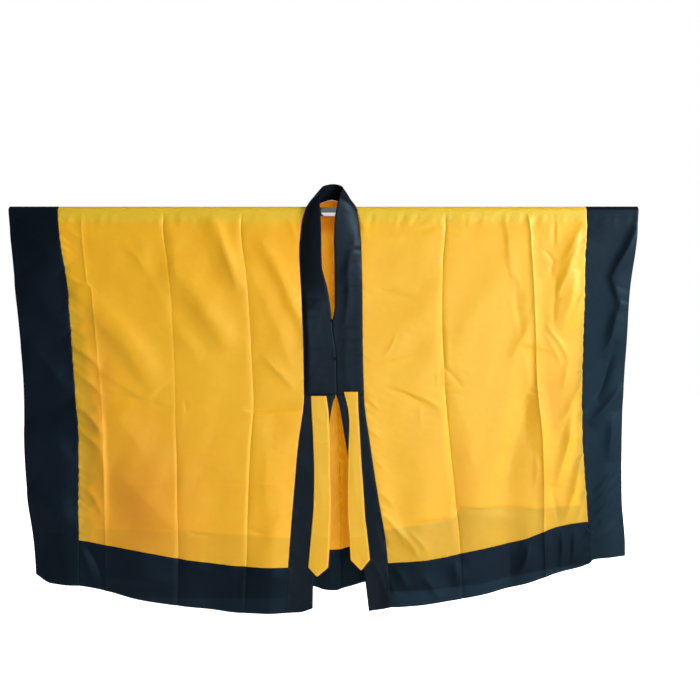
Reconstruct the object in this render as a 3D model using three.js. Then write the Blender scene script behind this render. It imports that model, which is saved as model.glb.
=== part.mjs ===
// A Taoist robe of the crane-cloak kind, hung on a steel pole that runs through both sleeves.
// Two satin halves fall from the pole in front and behind, with broad bands down the sleeve openings, along
// the hems and down the front edges. One long band closes the front, stands up over the shoulders and passes
// round the back of the neck, and two pointed ties hang below it.
//
// Millimetres, +Z up. The front faces -Y, +X is on the right of someone who looks at the front, and "left"
// means -X. The origin is the middle of the pole's axis. "drop" is a distance below that axis, and a negative
// drop is a place on the quarter turn of cloth that bends over the pole.
import * as THREE from "three";

// Driving dimensions
const POLE_RADIUS = 16;
const POLE_LENGTH = 1860;
const CLEAR_OF_POLE = 0.8;
const SEAM_GAP = 0.3;
const HALF_GAP = SEAM_GAP / 2;
const NECK_SEAM_GAP = 2.8;

// Each wall reaches from inner to outer, measured from the middle surface of the cloth.
const SATIN = { inner: -0.6, outer: 0.6 };
const BAND = { inner: -0.9, outer: 1.1 };
const NECK_BAND = { inner: -0.9, outer: 1.8 };
const TIE = { inner: 1.5, outer: 2.9 };

const BEND_RADIUS = POLE_RADIUS + CLEAR_OF_POLE - BAND.inner;
const BEND_LENGTH = (BEND_RADIUS * Math.PI) / 2;
const CREST = -BEND_LENGTH;

// The cloth leans away from the pole's tangent plane by this much on the way to the hem. The back's lean is larger
// in the middle, over a stretch of BACK_CENTRE_REACH to each side.
const HANG_AT_TOP = 3;
const HANG_AT_TOP_DROP = 80;
const FRONT_LEAN = 12;
const BACK_LEAN = 16;
const BACK_CENTRE_LEAN = 38;
const BACK_CENTRE_REACH = 420;
const FULL_DROP = 1200;

// Creases and drapes start at nothing on the pole and have their full height from these drops down.
const CREASE_FADE_DROP = 60;
const DRAPE_FADE_DROP = 40;
// A drape whose line ends below this drop keeps its height down to the hem.
const REACHES_HEM_DROP = 1000;

// Sections of the robe's outline: x of the sleeve opening, the sleeve band's seam and the front band's seam.
const LEFT_SECTIONS = [
  { drop: -30, outer: -949, sleeveSeam: -802, frontSeam: -50 },
  { drop: 0, outer: -947, sleeveSeam: -800, frontSeam: -59 },
  { drop: 56, outer: -941, sleeveSeam: -795, frontSeam: -71 },
  { drop: 116, outer: -935, sleeveSeam: -786, frontSeam: -73 },
  { drop: 251, outer: -922, sleeveSeam: -766, frontSeam: -67 },
  { drop: 400, outer: -907, sleeveSeam: -755, frontSeam: -61 },
  { drop: 550, outer: -897, sleeveSeam: -743, frontSeam: -59 },
  { drop: 700, outer: -895, sleeveSeam: -733, frontSeam: -77 },
  { drop: 850, outer: -885, sleeveSeam: -733, frontSeam: -90 },
  { drop: 1000, outer: -865, sleeveSeam: -730, frontSeam: -102 },
  { drop: 1205, outer: -850, sleeveSeam: -727, frontSeam: -116 },
];
const RIGHT_SECTIONS = [
  { drop: -30, outer: 946, sleeveSeam: 789, frontSeam: 92 },
  { drop: 0, outer: 944, sleeveSeam: 789, frontSeam: 101 },
  { drop: 56, outer: 939, sleeveSeam: 789, frontSeam: 109 },
  { drop: 116, outer: 932, sleeveSeam: 784, frontSeam: 111 },
  { drop: 251, outer: 914, sleeveSeam: 781, frontSeam: 114 },
  { drop: 400, outer: 904, sleeveSeam: 777, frontSeam: 115 },
  { drop: 550, outer: 894, sleeveSeam: 772, frontSeam: 119 },
  { drop: 700, outer: 888, sleeveSeam: 774, frontSeam: 138 },
  { drop: 850, outer: 888, sleeveSeam: 784, frontSeam: 161 },
  { drop: 1000, outer: 898, sleeveSeam: 793, frontSeam: 186 },
  { drop: 1205, outer: 898, sleeveSeam: 797, frontSeam: 202 },
];

// Hem lines: across runs from the sleeve seam, 0, to the front or centre-back seam, 1.
const FRONT_HEM_LEFT = [
  { across: 0, seam: 983, hem: 1117 },
  { across: 0.1, seam: 995, hem: 1129 },
  { across: 0.29, seam: 1016, hem: 1158 },
  { across: 0.53, seam: 1045, hem: 1182 },
  { across: 0.82, seam: 1063, hem: 1200 },
  { across: 1, seam: 1065, hem: 1199 },
];
const FRONT_HEM_RIGHT = [
  { across: 0, seam: 929, hem: 1051 },
  { across: 0.05, seam: 932, hem: 1063 },
  { across: 0.15, seam: 944, hem: 1078 },
  { across: 0.34, seam: 986, hem: 1117 },
  { across: 0.55, seam: 1013, hem: 1147 },
  { across: 0.8, seam: 1042, hem: 1171 },
  { across: 1, seam: 1052, hem: 1182 },
];
const BACK_HEM_LEFT = [
  { across: 0, seam: 985, hem: 1115 },
  { across: 0.18, seam: 1012, hem: 1143 },
  { across: 0.5, seam: 1030, hem: 1158 },
  { across: 1, seam: 1037, hem: 1162 },
];
const BACK_HEM_RIGHT = [
  { across: 0, seam: 930, hem: 1053 },
  { across: 0.17, seam: 942, hem: 1070 },
  { across: 0.47, seam: 988, hem: 1116 },
  { across: 0.67, seam: 1003, hem: 1130 },
  { across: 0.9, seam: 1015, hem: 1141 },
  { across: 1, seam: 1037, hem: 1162 },
];

// Bottom ends of the sleeve bands: across runs from the sleeve opening, 0, to the sleeve seam, 1.
const SLEEVE_END_LEFT = [
  { across: 0, hem: 1084 },
  { across: 0.33, hem: 1110 },
  { across: 1, hem: 1117 },
];
const SLEEVE_END_RIGHT = [
  { across: 0, hem: 1029 },
  { across: 0.43, hem: 1033 },
  { across: 0.9, hem: 1040 },
  { across: 1, hem: 1051 },
];

// Free edges of the fronts below the neck band, and the ends of the front edge bands.
const FREE_EDGE_LEFT = [
  { drop: 540, edge: 34 },
  { drop: 565, edge: 28.5 },
  { drop: 634, edge: 17.5 },
  { drop: 744, edge: 5 },
  { drop: 983, edge: -20.5 },
  { drop: 1087, edge: -32 },
  { drop: 1205, edge: -34 },
];
const FREE_EDGE_RIGHT = [
  { drop: 540, edge: 38 },
  { drop: 565, edge: 40.5 },
  { drop: 659, edge: 59 },
  { drop: 732, edge: 72 },
  { drop: 998, edge: 111 },
  { drop: 1205, edge: 136 },
];
const EDGE_BAND_END_LEFT = [
  { across: 0, hem: 1199 },
  { across: 0.5, hem: 1198 },
  { across: 1, hem: 1186 },
];
const EDGE_BAND_END_RIGHT = [
  { across: 0, hem: 1182 },
  { across: 0.5, hem: 1191 },
  { across: 1, hem: 1195 },
];

// Pressed creases, straight down a panel at one place across it: height of the ridge and half its width, in mm.
const CREASES = {
  front_left: [
    { across: 0.105, height: 6, halfWidth: 26 },
    { across: 0.435, height: -7, halfWidth: 30 },
    { across: 0.775, height: -7, halfWidth: 28 },
  ],
  front_right: [
    { across: 0.215, height: 7, halfWidth: 26 },
    { across: 0.628, height: -7, halfWidth: 30 },
  ],
  back_left: [
    { across: 0.12, height: 5, halfWidth: 28 },
    { across: 0.47, height: -7, halfWidth: 30 },
    { across: 0.8, height: 6, halfWidth: 26 },
  ],
  back_right: [
    { across: 0.24, height: -6, halfWidth: 28 },
    { across: 0.6, height: 7, halfWidth: 30 },
  ],
};

// Soft drapes: low rounded folds from one place to another, with their rise and half width, in mm.
const DRAPES = {
  front_left: [
    { fromX: -680, fromDrop: 300, toX: -540, toDrop: 530, rise: 6, halfWidth: 34 },
    { fromX: -480, fromDrop: 170, toX: -300, toDrop: 410, rise: 6, halfWidth: 36 },
    { fromX: -350, fromDrop: 20, toX: -190, toDrop: 330, rise: -6, halfWidth: 36 },
    { fromX: -590, fromDrop: 640, toX: -520, toDrop: 1200, rise: 9, halfWidth: 55 },
    { fromX: -330, fromDrop: 700, toX: -330, toDrop: 1210, rise: -8, halfWidth: 50 },
    { fromX: -150, fromDrop: 650, toX: -160, toDrop: 1210, rise: 8, halfWidth: 45 },
    { fromX: -800, fromDrop: 500, toX: -760, toDrop: 1130, rise: 8, halfWidth: 40 },
  ],
  front_right: [
    { fromX: 790, fromDrop: 60, toX: 660, toDrop: 430, rise: 7, halfWidth: 38 },
    { fromX: 610, fromDrop: 350, toX: 490, toDrop: 900, rise: 8, halfWidth: 42 },
    { fromX: 320, fromDrop: 330, toX: 190, toDrop: 520, rise: -6, halfWidth: 34 },
    { fromX: 300, fromDrop: 640, toX: 290, toDrop: 1190, rise: 8, halfWidth: 48 },
    { fromX: 560, fromDrop: 700, toX: 545, toDrop: 1120, rise: -8, halfWidth: 40 },
    { fromX: 850, fromDrop: 400, toX: 845, toDrop: 1040, rise: 7, halfWidth: 36 },
    { fromX: 210, fromDrop: 980, toX: 160, toDrop: 1200, rise: -7, halfWidth: 30 },
  ],
  back_left: [
    { fromX: -640, fromDrop: 180, toX: -480, toDrop: 560, rise: 7, halfWidth: 40 },
    { fromX: -420, fromDrop: 420, toX: -460, toDrop: 1170, rise: 10, halfWidth: 52 },
    { fromX: -180, fromDrop: 560, toX: -210, toDrop: 1170, rise: -9, halfWidth: 48 },
    { fromX: -60, fromDrop: 120, toX: -30, toDrop: 1170, rise: 8, halfWidth: 45 },
  ],
  back_right: [
    { fromX: 600, fromDrop: 120, toX: 470, toDrop: 480, rise: 6, halfWidth: 38 },
    { fromX: 650, fromDrop: 480, toX: 690, toDrop: 1090, rise: 9, halfWidth: 46 },
    { fromX: 380, fromDrop: 600, toX: 400, toDrop: 1140, rise: -9, halfWidth: 50 },
    { fromX: 170, fromDrop: 260, toX: 150, toDrop: 1160, rise: 9, halfWidth: 46 },
  ],
};

// The back's neckline: the cloth rises behind the pole between the shoulders.
const NECK_CENTRE = 22;
const NECK_HALF_WIDTH = 74;
const NECK_RISE = 25;
const NECK_SETBACK = 25;
const NECK_SETTLED_DROP = 120;
const CENTRE_BACK_AT_NECK = 26;
const CENTRE_BACK_AT_HEM = 54;

// The neck band up each front: its free edge, and how far that edge lifts off the chest.
const NECK_BAND_END = 549;
const NECK_BAND_CHEST_TOP = 90;
const NECK_BAND_LAST_ROW_CLEAR = 10;
const NECK_EDGE_LEFT = [
  { drop: 50, edge: -6.5, lift: 24 },
  { drop: 76, edge: -6, lift: 22 },
  { drop: 116, edge: -6, lift: 18 },
  { drop: 163, edge: -5, lift: 13 },
  { drop: 226, edge: 8.5, lift: 7 },
  { drop: 290, edge: 19, lift: 2 },
  { drop: 340, edge: 23.5, lift: 0 },
  { drop: 430, edge: 34.5, lift: 0 },
  { drop: 549, edge: 38, lift: 0 },
];
const NECK_EDGE_RIGHT = [
  { drop: 50, edge: 29, lift: 24 },
  { drop: 76, edge: 30, lift: 22 },
  { drop: 116, edge: 32, lift: 17 },
  { drop: 163, edge: 33, lift: 12 },
  { drop: 226, edge: 33, lift: 6 },
  { drop: 290, edge: 33, lift: 2 },
  { drop: 340, edge: 24.5, lift: 0 },
  { drop: 430, edge: 35.5, lift: 0 },
  { drop: 549, edge: 39, lift: 0 },
];
// The neck band over the shoulders and round the back: seam is a drop on the front or an x on the neckline.
const NECK_BAND_STANDING = [
  { on: "front_left", seam: 30, edgeX: -10, edgeY: -50, edgeZ: -18 },
  { on: "front_left", seam: 0, edgeX: -12, edgeY: -51, edgeZ: 18 },
  { on: "front_left", seam: -10, edgeX: -12, edgeY: -48, edgeZ: 32 },
  { on: "front_left", seam: -19, edgeX: -12, edgeY: -43, edgeZ: 42 },
  { on: "neckline", seam: -52, edgeX: -12, edgeY: -36, edgeZ: 50 },
  { on: "neckline", seam: -38, edgeX: -10, edgeY: 4, edgeZ: 73 },
  { on: "neckline", seam: -15, edgeX: 2, edgeY: 48, edgeZ: 93 },
  { on: "neckline", seam: 22, edgeX: 26, edgeY: 66, edgeZ: 101 },
  { on: "neckline", seam: 60, edgeX: 47, edgeY: 48, edgeZ: 93 },
  { on: "neckline", seam: 82, edgeX: 56, edgeY: 4, edgeZ: 73 },
  { on: "neckline", seam: 96, edgeX: 49, edgeY: -36, edgeZ: 50 },
  { on: "front_right", seam: -19, edgeX: 48, edgeY: -43, edgeZ: 42 },
  { on: "front_right", seam: -10, edgeX: 45, edgeY: -48, edgeZ: 32 },
  { on: "front_right", seam: 0, edgeX: 42, edgeY: -50, edgeZ: 18 },
  { on: "front_right", seam: 30, edgeX: 35, edgeY: -48, edgeZ: -18 },
];
const NECK_BAND_BOW = 5;
const BOW_PER_LIFT = 0.2;

// Ties: x of both edges down to the shoulders of the point, then the tip.
const TIE_LEFT = {
  sections: [
    { drop: 553, near: -38, far: 11 },
    { drop: 612, near: -32, far: 21 },
    { drop: 950, near: -32, far: 21 },
    { drop: 1062, near: -45, far: 15 },
  ],
  tip: { drop: 1092, x: -18 },
};
const TIE_RIGHT = {
  sections: [
    { drop: 553, near: 61, far: 104 },
    { drop: 612, near: 69, far: 107 },
    { drop: 700, near: 75, far: 113 },
    { drop: 850, near: 69, far: 123 },
    { drop: 1045, near: 81, far: 138 },
  ],
  tip: { drop: 1075, x: 113 },
};
const TIE_TIP_HALF_WIDTH = 1.5;

// Knots that close the neck band on the chest.
const CLOSURES = [
  { name: "closure_upper", x: 24, drop: 328 },
  { name: "closure_lower", x: 35, drop: 441 },
];
const CLOSURE_SIZE = { width: 13, height: 11, depth: 5 };
const CLOSURE_CLEAR = 0.7;

// Mesh density
const BEND_STEPS = 4;
const FRONT_STEPS = { across: 13, down: 21 };
const BACK_STEPS = { across: 11, down: 15 };
const SLEEVE_BAND_COLUMNS = 3;
const HEM_BAND_ROWS = 2;
const EDGE_BAND_COLUMNS = 2;
const NECK_BAND_STEPS = { across: 5, perStation: 2 };
const TIE_STEPS = { across: 2, down: 14 };
// An even column closer to a crease than this share of a column's width is left out.
const CROWDED = 0.4;

const COLOURS = { satin: 0xf2a818, black: 0x141d26, steel: 0xc9ccd0 };

// ---- Interpolation ----

const mix = (a, b, t) => a + (b - a) * t;
const clamp01 = (t) => Math.min(1, Math.max(0, t));

// Value of a table's column at a place along its key, on a smooth curve through the rows that never overshoots.
function lookUp(table, key, at, column) {
  let i = 0;
  while (i < table.length - 2 && at > table[i + 1][key]) i++;
  const slope = (j) =>
    (table[j + 1][column] - table[j][column]) / (table[j + 1][key] - table[j][key]);
  const tangent = (j) => {
    if (j === 0) return slope(0);
    if (j === table.length - 1) return slope(j - 1);
    const before = slope(j - 1);
    const after = slope(j);
    return before * after <= 0 ? 0 : (2 * before * after) / (before + after);
  };
  const length = table[i + 1][key] - table[i][key];
  const t = clamp01((at - table[i][key]) / length);
  const rise = table[i + 1][column] - table[i][column];
  const from = tangent(i) * length;
  const to = tangent(i + 1) * length;
  return table[i][column] + from * t + (3 * rise - 2 * from - to) * t * t + (from + to - 2 * rise) * t ** 3;
}

// ---- The middle surface of the cloth ----

// The robe hangs in four quarters. face is -1 in front and 1 behind.
const centreBack = (drop) => mix(CENTRE_BACK_AT_NECK, CENTRE_BACK_AT_HEM, clamp01(drop / FULL_DROP));
const QUARTERS = {};
for (const [name, face, sections, hem, sleeveEnd] of [
  ["front_left", -1, LEFT_SECTIONS, FRONT_HEM_LEFT, SLEEVE_END_LEFT],
  ["front_right", -1, RIGHT_SECTIONS, FRONT_HEM_RIGHT, SLEEVE_END_RIGHT],
  ["back_left", 1, LEFT_SECTIONS, BACK_HEM_LEFT, SLEEVE_END_LEFT],
  ["back_right", 1, RIGHT_SECTIONS, BACK_HEM_RIGHT, SLEEVE_END_RIGHT],
]) {
  QUARTERS[name] = {
    name,
    face,
    hem,
    sleeveEnd,
    inwards: sections === LEFT_SECTIONS ? 1 : -1,
    outer: (drop) => lookUp(sections, "drop", drop, "outer"),
    sleeveSeam: (drop) => lookUp(sections, "drop", drop, "sleeveSeam"),
    innerSeam: face < 0 ? (drop) => lookUp(sections, "drop", drop, "frontSeam") : centreBack,
  };
}

// Height of a pressed crease: a straight ridge that fades to nothing at its half width and towards the pole.
function creaseHeight(quarter, x, drop) {
  let sum = 0;
  for (const crease of CREASES[quarter.name]) {
    const line = mix(quarter.sleeveSeam(drop), quarter.innerSeam(drop), crease.across);
    sum += crease.height * Math.max(0, 1 - Math.abs(x - line) / crease.halfWidth);
  }
  return sum * clamp01(drop / CREASE_FADE_DROP);
}

// Height of the soft drapes: a rounded fold along a line, swelling from one end to its middle and fading at the
// other.
function drapeHeight(quarter, x, drop) {
  let sum = 0;
  for (const d of DRAPES[quarter.name]) {
    const alongX = d.toX - d.fromX;
    const alongDrop = d.toDrop - d.fromDrop;
    const length = Math.hypot(alongX, alongDrop);
    const along = ((x - d.fromX) * alongX + (drop - d.fromDrop) * alongDrop) / (length * length);
    const off = ((x - d.fromX) * alongDrop - (drop - d.fromDrop) * alongX) / length;
    const swell = d.toDrop > REACHES_HEM_DROP ? clamp01(along) ** 0.7 : Math.sin(Math.PI * clamp01(along));
    sum += d.rise * swell * Math.exp(-((off / d.halfWidth) ** 2));
  }
  return sum;
}

// How far the cloth stands off the pole's tangent plane.
function hang(quarter, x, drop) {
  const fromCentre = (x - CENTRE_BACK_AT_HEM) / BACK_CENTRE_REACH;
  const lean = quarter.face < 0 ? FRONT_LEAN : BACK_LEAN + BACK_CENTRE_LEAN * Math.exp(-fromCentre * fromCentre);
  const atTop = HANG_AT_TOP * clamp01(drop / HANG_AT_TOP_DROP);
  const folds = creaseHeight(quarter, x, drop) + drapeHeight(quarter, x, drop);
  return atTop + lean * clamp01(drop / FULL_DROP) + folds * clamp01(drop / DRAPE_FADE_DROP);
}

// 0 at the shoulders and beyond them, 1 at the middle of the back of the neck.
function neckLift(x) {
  const t = (x - NECK_CENTRE) / NECK_HALF_WIDTH;
  return Math.abs(t) < 1 ? Math.cos((Math.PI * t) / 2) ** 2 : 0;
}

// A point of the middle surface. Above drop 0 the section is a quarter circle round the pole, and below it the
// cloth hangs. Behind the neck the section starts higher and further back instead.
function clothPoint(quarter, x, drop) {
  if (drop > 0) {
    const out = BEND_RADIUS + neckDrag(quarter, x, drop) + hang(quarter, x, drop);
    return new THREE.Vector3(x, quarter.face * out, -drop);
  }
  const turned = (drop - CREST) / BEND_LENGTH;
  const angle = (turned * Math.PI) / 2;
  const y = BEND_RADIUS * Math.sin(angle);
  const z = BEND_RADIUS * Math.cos(angle);
  const lift = quarter.face > 0 ? neckLift(x) : 0;
  const behindY = mix(NECK_SETBACK, BEND_RADIUS + neckDrag(quarter, x, 0), turned);
  const behindZ = mix(BEND_RADIUS + NECK_RISE, 0, turned);
  return new THREE.Vector3(x, quarter.face * mix(y, behindY, lift), mix(z, behindZ, lift));
}

// Below the lifted neckline the back stays behind the pole's tangent plane for a hand's width.
function neckDrag(quarter, x, drop) {
  if (quarter.face < 0) return 0;
  return (NECK_SETBACK - BEND_RADIUS) * neckLift(x) * (1 - clamp01(drop / NECK_SETTLED_DROP));
}

// Unit normal of the middle surface, pointing away from the wearer.
function clothNormal(quarter, x, drop) {
  const step = 1;
  const acrossX = clothPoint(quarter, x + step, drop).sub(clothPoint(quarter, x - step, drop));
  const down = clothPoint(quarter, x, drop + step).sub(clothPoint(quarter, x, drop - step));
  const normal = acrossX.cross(down).normalize();
  return normal.y * quarter.face < 0 || (Math.abs(normal.y) < 0.5 && normal.z < 0) ? normal.negate() : normal;
}

// ---- Walls ----

// A closed wall from a grid of points and normals, rows by columns: the outer and inner skins and the rim.
function wallGeometry(points, normals, wall) {
  const rows = points.length;
  const columns = points[0].length;
  const positions = [];
  for (const offset of [wall.outer, wall.inner])
    for (let r = 0; r < rows; r++)
      for (let c = 0; c < columns; c++)
        positions.push(...points[r][c].clone().addScaledVector(normals[r][c], offset));
  const outer = (r, c) => r * columns + c;
  const inner = (r, c) => rows * columns + outer(r, c);
  const triangles = [];
  const quad = (a, b, c, d) => triangles.push(a, b, c, a, c, d);
  for (let r = 0; r < rows - 1; r++)
    for (let c = 0; c < columns - 1; c++) {
      quad(outer(r, c), outer(r, c + 1), outer(r + 1, c + 1), outer(r + 1, c));
      quad(inner(r, c), inner(r + 1, c), inner(r + 1, c + 1), inner(r, c + 1));
    }
  const rim = [];
  for (let c = 0; c < columns; c++) rim.push([0, c]);
  for (let r = 1; r < rows; r++) rim.push([r, columns - 1]);
  for (let c = columns - 2; c >= 0; c--) rim.push([rows - 1, c]);
  for (let r = rows - 2; r > 0; r--) rim.push([r, 0]);
  rim.forEach((from, i) => {
    const to = rim[(i + 1) % rim.length];
    quad(outer(...to), outer(...from), inner(...from), inner(...to));
  });
  // The skins face outwards when rows run down and columns run so that (across x down) points along the normals.
  const across = points[0][1].clone().sub(points[0][0]);
  const down = points[1][0].clone().sub(points[0][0]);
  if (across.cross(down).dot(normals[0][0]) < 0)
    for (let i = 0; i < triangles.length; i += 3)
      [triangles[i + 1], triangles[i + 2]] = [triangles[i + 2], triangles[i + 1]];
  const geometry = new THREE.BufferGeometry();
  geometry.setAttribute("position", new THREE.Float32BufferAttribute(positions, 3));
  geometry.setIndex(triangles);
  return geometry;
}

// A wall on a quarter's cloth, from a function that gives x and drop at each row and column.
function clothWall(quarter, rows, columns, place, wall) {
  const points = [];
  const normals = [];
  for (const row of rows) {
    const at = columns.map((column) => place(column, row));
    points.push(at.map(({ x, drop }) => clothPoint(quarter, x, drop)));
    normals.push(at.map(({ x, drop }) => clothNormal(quarter, x, drop)));
  }
  return wallGeometry(points, normals, wall);
}

// Even steps from 0 to 1.
const evenly = (count) => Array.from({ length: count + 1 }, (_, i) => i / count);

// Rows of a piece that starts on the crest: first round the bend, then evenly down to the piece's end. A row is a
// function that turns the drop of the piece's end into the drop of the row.
function hangingRows(count) {
  const bend = evenly(BEND_STEPS).map((t) => () => mix(CREST + HALF_GAP, 0, t));
  const straight = evenly(count).slice(1).map((t) => (end) => end * t);
  return [...bend, ...straight];
}

// Drops of the rows down one side of a panel and its hem band, where a neighbour's rows have to meet them.
function sideDrops(quarter, across, panelRows) {
  const seam = lookUp(quarter.hem, "across", across, "seam");
  const hem = lookUp(quarter.hem, "across", across, "hem");
  const band = evenly(HEM_BAND_ROWS).slice(1).map((t) => mix(seam + HALF_GAP, hem, t));
  return [...panelRows.map((row) => row(seam - HALF_GAP)), ...band];
}

// Columns across a panel: even ones, and three for each crease in place of those that it crowds.
function panelColumns(quarter, count) {
  const width = Math.abs(quarter.innerSeam(500) - quarter.sleeveSeam(500));
  const creases = CREASES[quarter.name].flatMap(({ across, halfWidth }) =>
    [-1, 0, 1].map((side) => across + (side * halfWidth) / width),
  );
  const apart = CROWDED / count;
  const even = evenly(count).filter(
    (t) => t === 0 || t === 1 || creases.every((c) => Math.abs(c - t) > apart),
  );
  return [...even, ...creases].sort((a, b) => a - b);
}

// ---- Pieces ----

const robe = new THREE.Group();
const material = (colour, roughness, metalness = 0) =>
  new THREE.MeshStandardMaterial({ color: colour, roughness, metalness, side: THREE.DoubleSide });

function addPiece(name, geometry, colour, roughness, metalness) {
  const mesh = new THREE.Mesh(geometry, material(colour, roughness, metalness));
  mesh.name = name;
  robe.add(mesh);
  return mesh;
}
const addSatin = (name, geometry) => addPiece(name, geometry, COLOURS.satin, 0.45);
const addBlack = (name, geometry) => addPiece(name, geometry, COLOURS.black, 0.55);

// x on a panel, from the sleeve seam, 0, to the front or centre-back seam, 1, half a gap inside both.
function panelX(quarter, across, drop) {
  const from = quarter.sleeveSeam(drop) + quarter.inwards * HALF_GAP;
  const to = quarter.innerSeam(drop) - quarter.inwards * HALF_GAP;
  return mix(from, to, across);
}

function panel(quarter, columns, rows) {
  return clothWall(
    quarter,
    rows,
    columns,
    (across, row) => {
      const drop = row(lookUp(quarter.hem, "across", across, "seam") - HALF_GAP);
      return { x: panelX(quarter, across, drop), drop };
    },
    SATIN,
  );
}

function hemBand(quarter, columns) {
  return clothWall(
    quarter,
    evenly(HEM_BAND_ROWS),
    columns,
    (across, t) => {
      const seam = lookUp(quarter.hem, "across", across, "seam") + HALF_GAP;
      const drop = mix(seam, lookUp(quarter.hem, "across", across, "hem"), t);
      return { x: panelX(quarter, across, drop), drop };
    },
    BAND,
  );
}

function sleeveBand(quarter, panelRows) {
  const drops = sideDrops(quarter, 0, panelRows);
  const seamEnd = drops[drops.length - 1];
  const rows = drops.map((drop) => (end) => (drop > 0 ? (end * drop) / seamEnd : drop));
  return clothWall(
    quarter,
    rows,
    evenly(SLEEVE_BAND_COLUMNS),
    (across, row) => {
      const drop = row(lookUp(quarter.sleeveEnd, "across", across, "hem"));
      const seam = quarter.sleeveSeam(drop) - quarter.inwards * HALF_GAP;
      return { x: mix(quarter.outer(drop), seam, across), drop };
    },
    BAND,
  );
}

function frontEdgeBand(quarter, panelRows, freeEdge, end) {
  const top = NECK_BAND_END + SEAM_GAP;
  const drops = sideDrops(quarter, 1, panelRows);
  const length = drops[drops.length - 1] - top;
  const below = drops.filter((drop) => drop > top + SEAM_GAP);
  const rows = [0, ...below.map((drop) => (drop - top) / length)];
  return clothWall(
    quarter,
    rows,
    evenly(EDGE_BAND_COLUMNS),
    (across, t) => {
      const drop = mix(top, lookUp(end, "across", across, "hem"), t);
      const seam = quarter.innerSeam(drop) + quarter.inwards * HALF_GAP;
      return { x: mix(seam, lookUp(freeEdge, "drop", drop, "edge"), across), drop };
    },
    BAND,
  );
}

const frontRows = hangingRows(FRONT_STEPS.down);
const backRows = hangingRows(BACK_STEPS.down);
for (const quarter of Object.values(QUARTERS)) {
  const steps = quarter.face < 0 ? FRONT_STEPS : BACK_STEPS;
  const rows = quarter.face < 0 ? frontRows : backRows;
  const columns = panelColumns(quarter, steps.across);
  addSatin(quarter.name, panel(quarter, columns, rows));
  addBlack("hem_band_" + quarter.name, hemBand(quarter, columns));
  addBlack("sleeve_band_" + quarter.name, sleeveBand(quarter, rows));
}
for (const [side, freeEdge, end] of [
  ["left", FREE_EDGE_LEFT, EDGE_BAND_END_LEFT],
  ["right", FREE_EDGE_RIGHT, EDGE_BAND_END_RIGHT],
])
  addBlack("front_edge_band_" + side, frontEdgeBand(QUARTERS["front_" + side], frontRows, freeEdge, end));

// The neck band: a strip whose sections run from its seam to its free edge. It goes up the left front, round the
// neck and down the right front.
function chestSections(quarter, edges) {
  const lowest = NECK_BAND_END - NECK_BAND_LAST_ROW_CLEAR;
  const drops = sideDrops(quarter, 1, frontRows).filter((d) => d > NECK_BAND_CHEST_TOP && d < lowest);
  return [...drops, NECK_BAND_END].map((drop) => {
    const edge = clothPoint(quarter, lookUp(edges, "drop", drop, "edge"), drop);
    const lift = lookUp(edges, "drop", drop, "lift");
    edge.y -= lift;
    return {
      seam: clothPoint(quarter, quarter.innerSeam(drop) + quarter.inwards * HALF_GAP, drop),
      edge,
      bow: lift * BOW_PER_LIFT,
    };
  });
}

function standingSection(row) {
  const edge = new THREE.Vector3(row.edgeX, row.edgeY, row.edgeZ);
  const quarter = QUARTERS[row.on];
  const seam = quarter
    ? clothPoint(quarter, quarter.innerSeam(row.seam), row.seam)
    : clothPoint(QUARTERS.back_left, row.seam, CREST);
  seam.addScaledVector(edge.clone().sub(seam).normalize(), NECK_SEAM_GAP);
  return { seam, edge, bow: NECK_BAND_BOW };
}

function neckBandSections() {
  const left = chestSections(QUARTERS.front_left, NECK_EDGE_LEFT).reverse();
  const right = chestSections(QUARTERS.front_right, NECK_EDGE_RIGHT);
  const knots = [left.at(-1), ...NECK_BAND_STANDING.map(standingSection), right[0]];
  const curve = (end) => new THREE.CatmullRomCurve3(knots.map((s) => s[end]), false, "centripetal");
  const seams = curve("seam");
  const edges = curve("edge");
  const spans = knots.length - 1;
  const standing = evenly(spans * NECK_BAND_STEPS.perStation).map((t) => {
    const i = Math.min(spans - 1, Math.floor(t * spans));
    const bow = mix(knots[i].bow, knots[i + 1].bow, t * spans - i);
    return { seam: seams.getPoint(t), edge: edges.getPoint(t), bow };
  });
  return [...left.slice(0, -1), ...standing, ...right.slice(1)];
}

function neckBand() {
  const sections = neckBandSections();
  const columns = evenly(NECK_BAND_STEPS.across);
  const straight = sections.map(({ seam, edge }) => columns.map((t) => seam.clone().lerp(edge, t)));
  const normals = straight.map((row, r) => {
    const before = straight[Math.max(0, r - 1)];
    const after = straight[Math.min(straight.length - 1, r + 1)];
    const across = row[columns.length - 1].clone().sub(row[0]);
    return row.map((_, c) => across.clone().cross(after[c].clone().sub(before[c])).normalize());
  });
  const points = straight.map((row, r) =>
    row.map((p, c) => p.clone().addScaledVector(normals[r][c], sections[r].bow * Math.sin(Math.PI * columns[c]))),
  );
  return wallGeometry(points, normals, NECK_BAND);
}
addBlack("neck_band", neckBand());

// A tie lies on the front edge band and hangs past its free edge. Its rows end in a point.
function tie(quarter, { sections, tip }) {
  const last = sections[sections.length - 1];
  const rows = [...evenly(TIE_STEPS.down).map((t) => mix(sections[0].drop, last.drop, t)), tip.drop];
  const columns = evenly(TIE_STEPS.across);
  const place = (across, drop) => {
    const atTip = drop === tip.drop;
    const near = atTip ? tip.x - TIE_TIP_HALF_WIDTH : lookUp(sections, "drop", drop, "near");
    const far = atTip ? tip.x + TIE_TIP_HALF_WIDTH : lookUp(sections, "drop", drop, "far");
    return { x: mix(near, far, across), drop };
  };
  return clothWall(quarter, rows, columns, place, TIE);
}
addSatin("tie_left", tie(QUARTERS.front_left, TIE_LEFT));
addSatin("tie_right", tie(QUARTERS.front_right, TIE_RIGHT));

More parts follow.
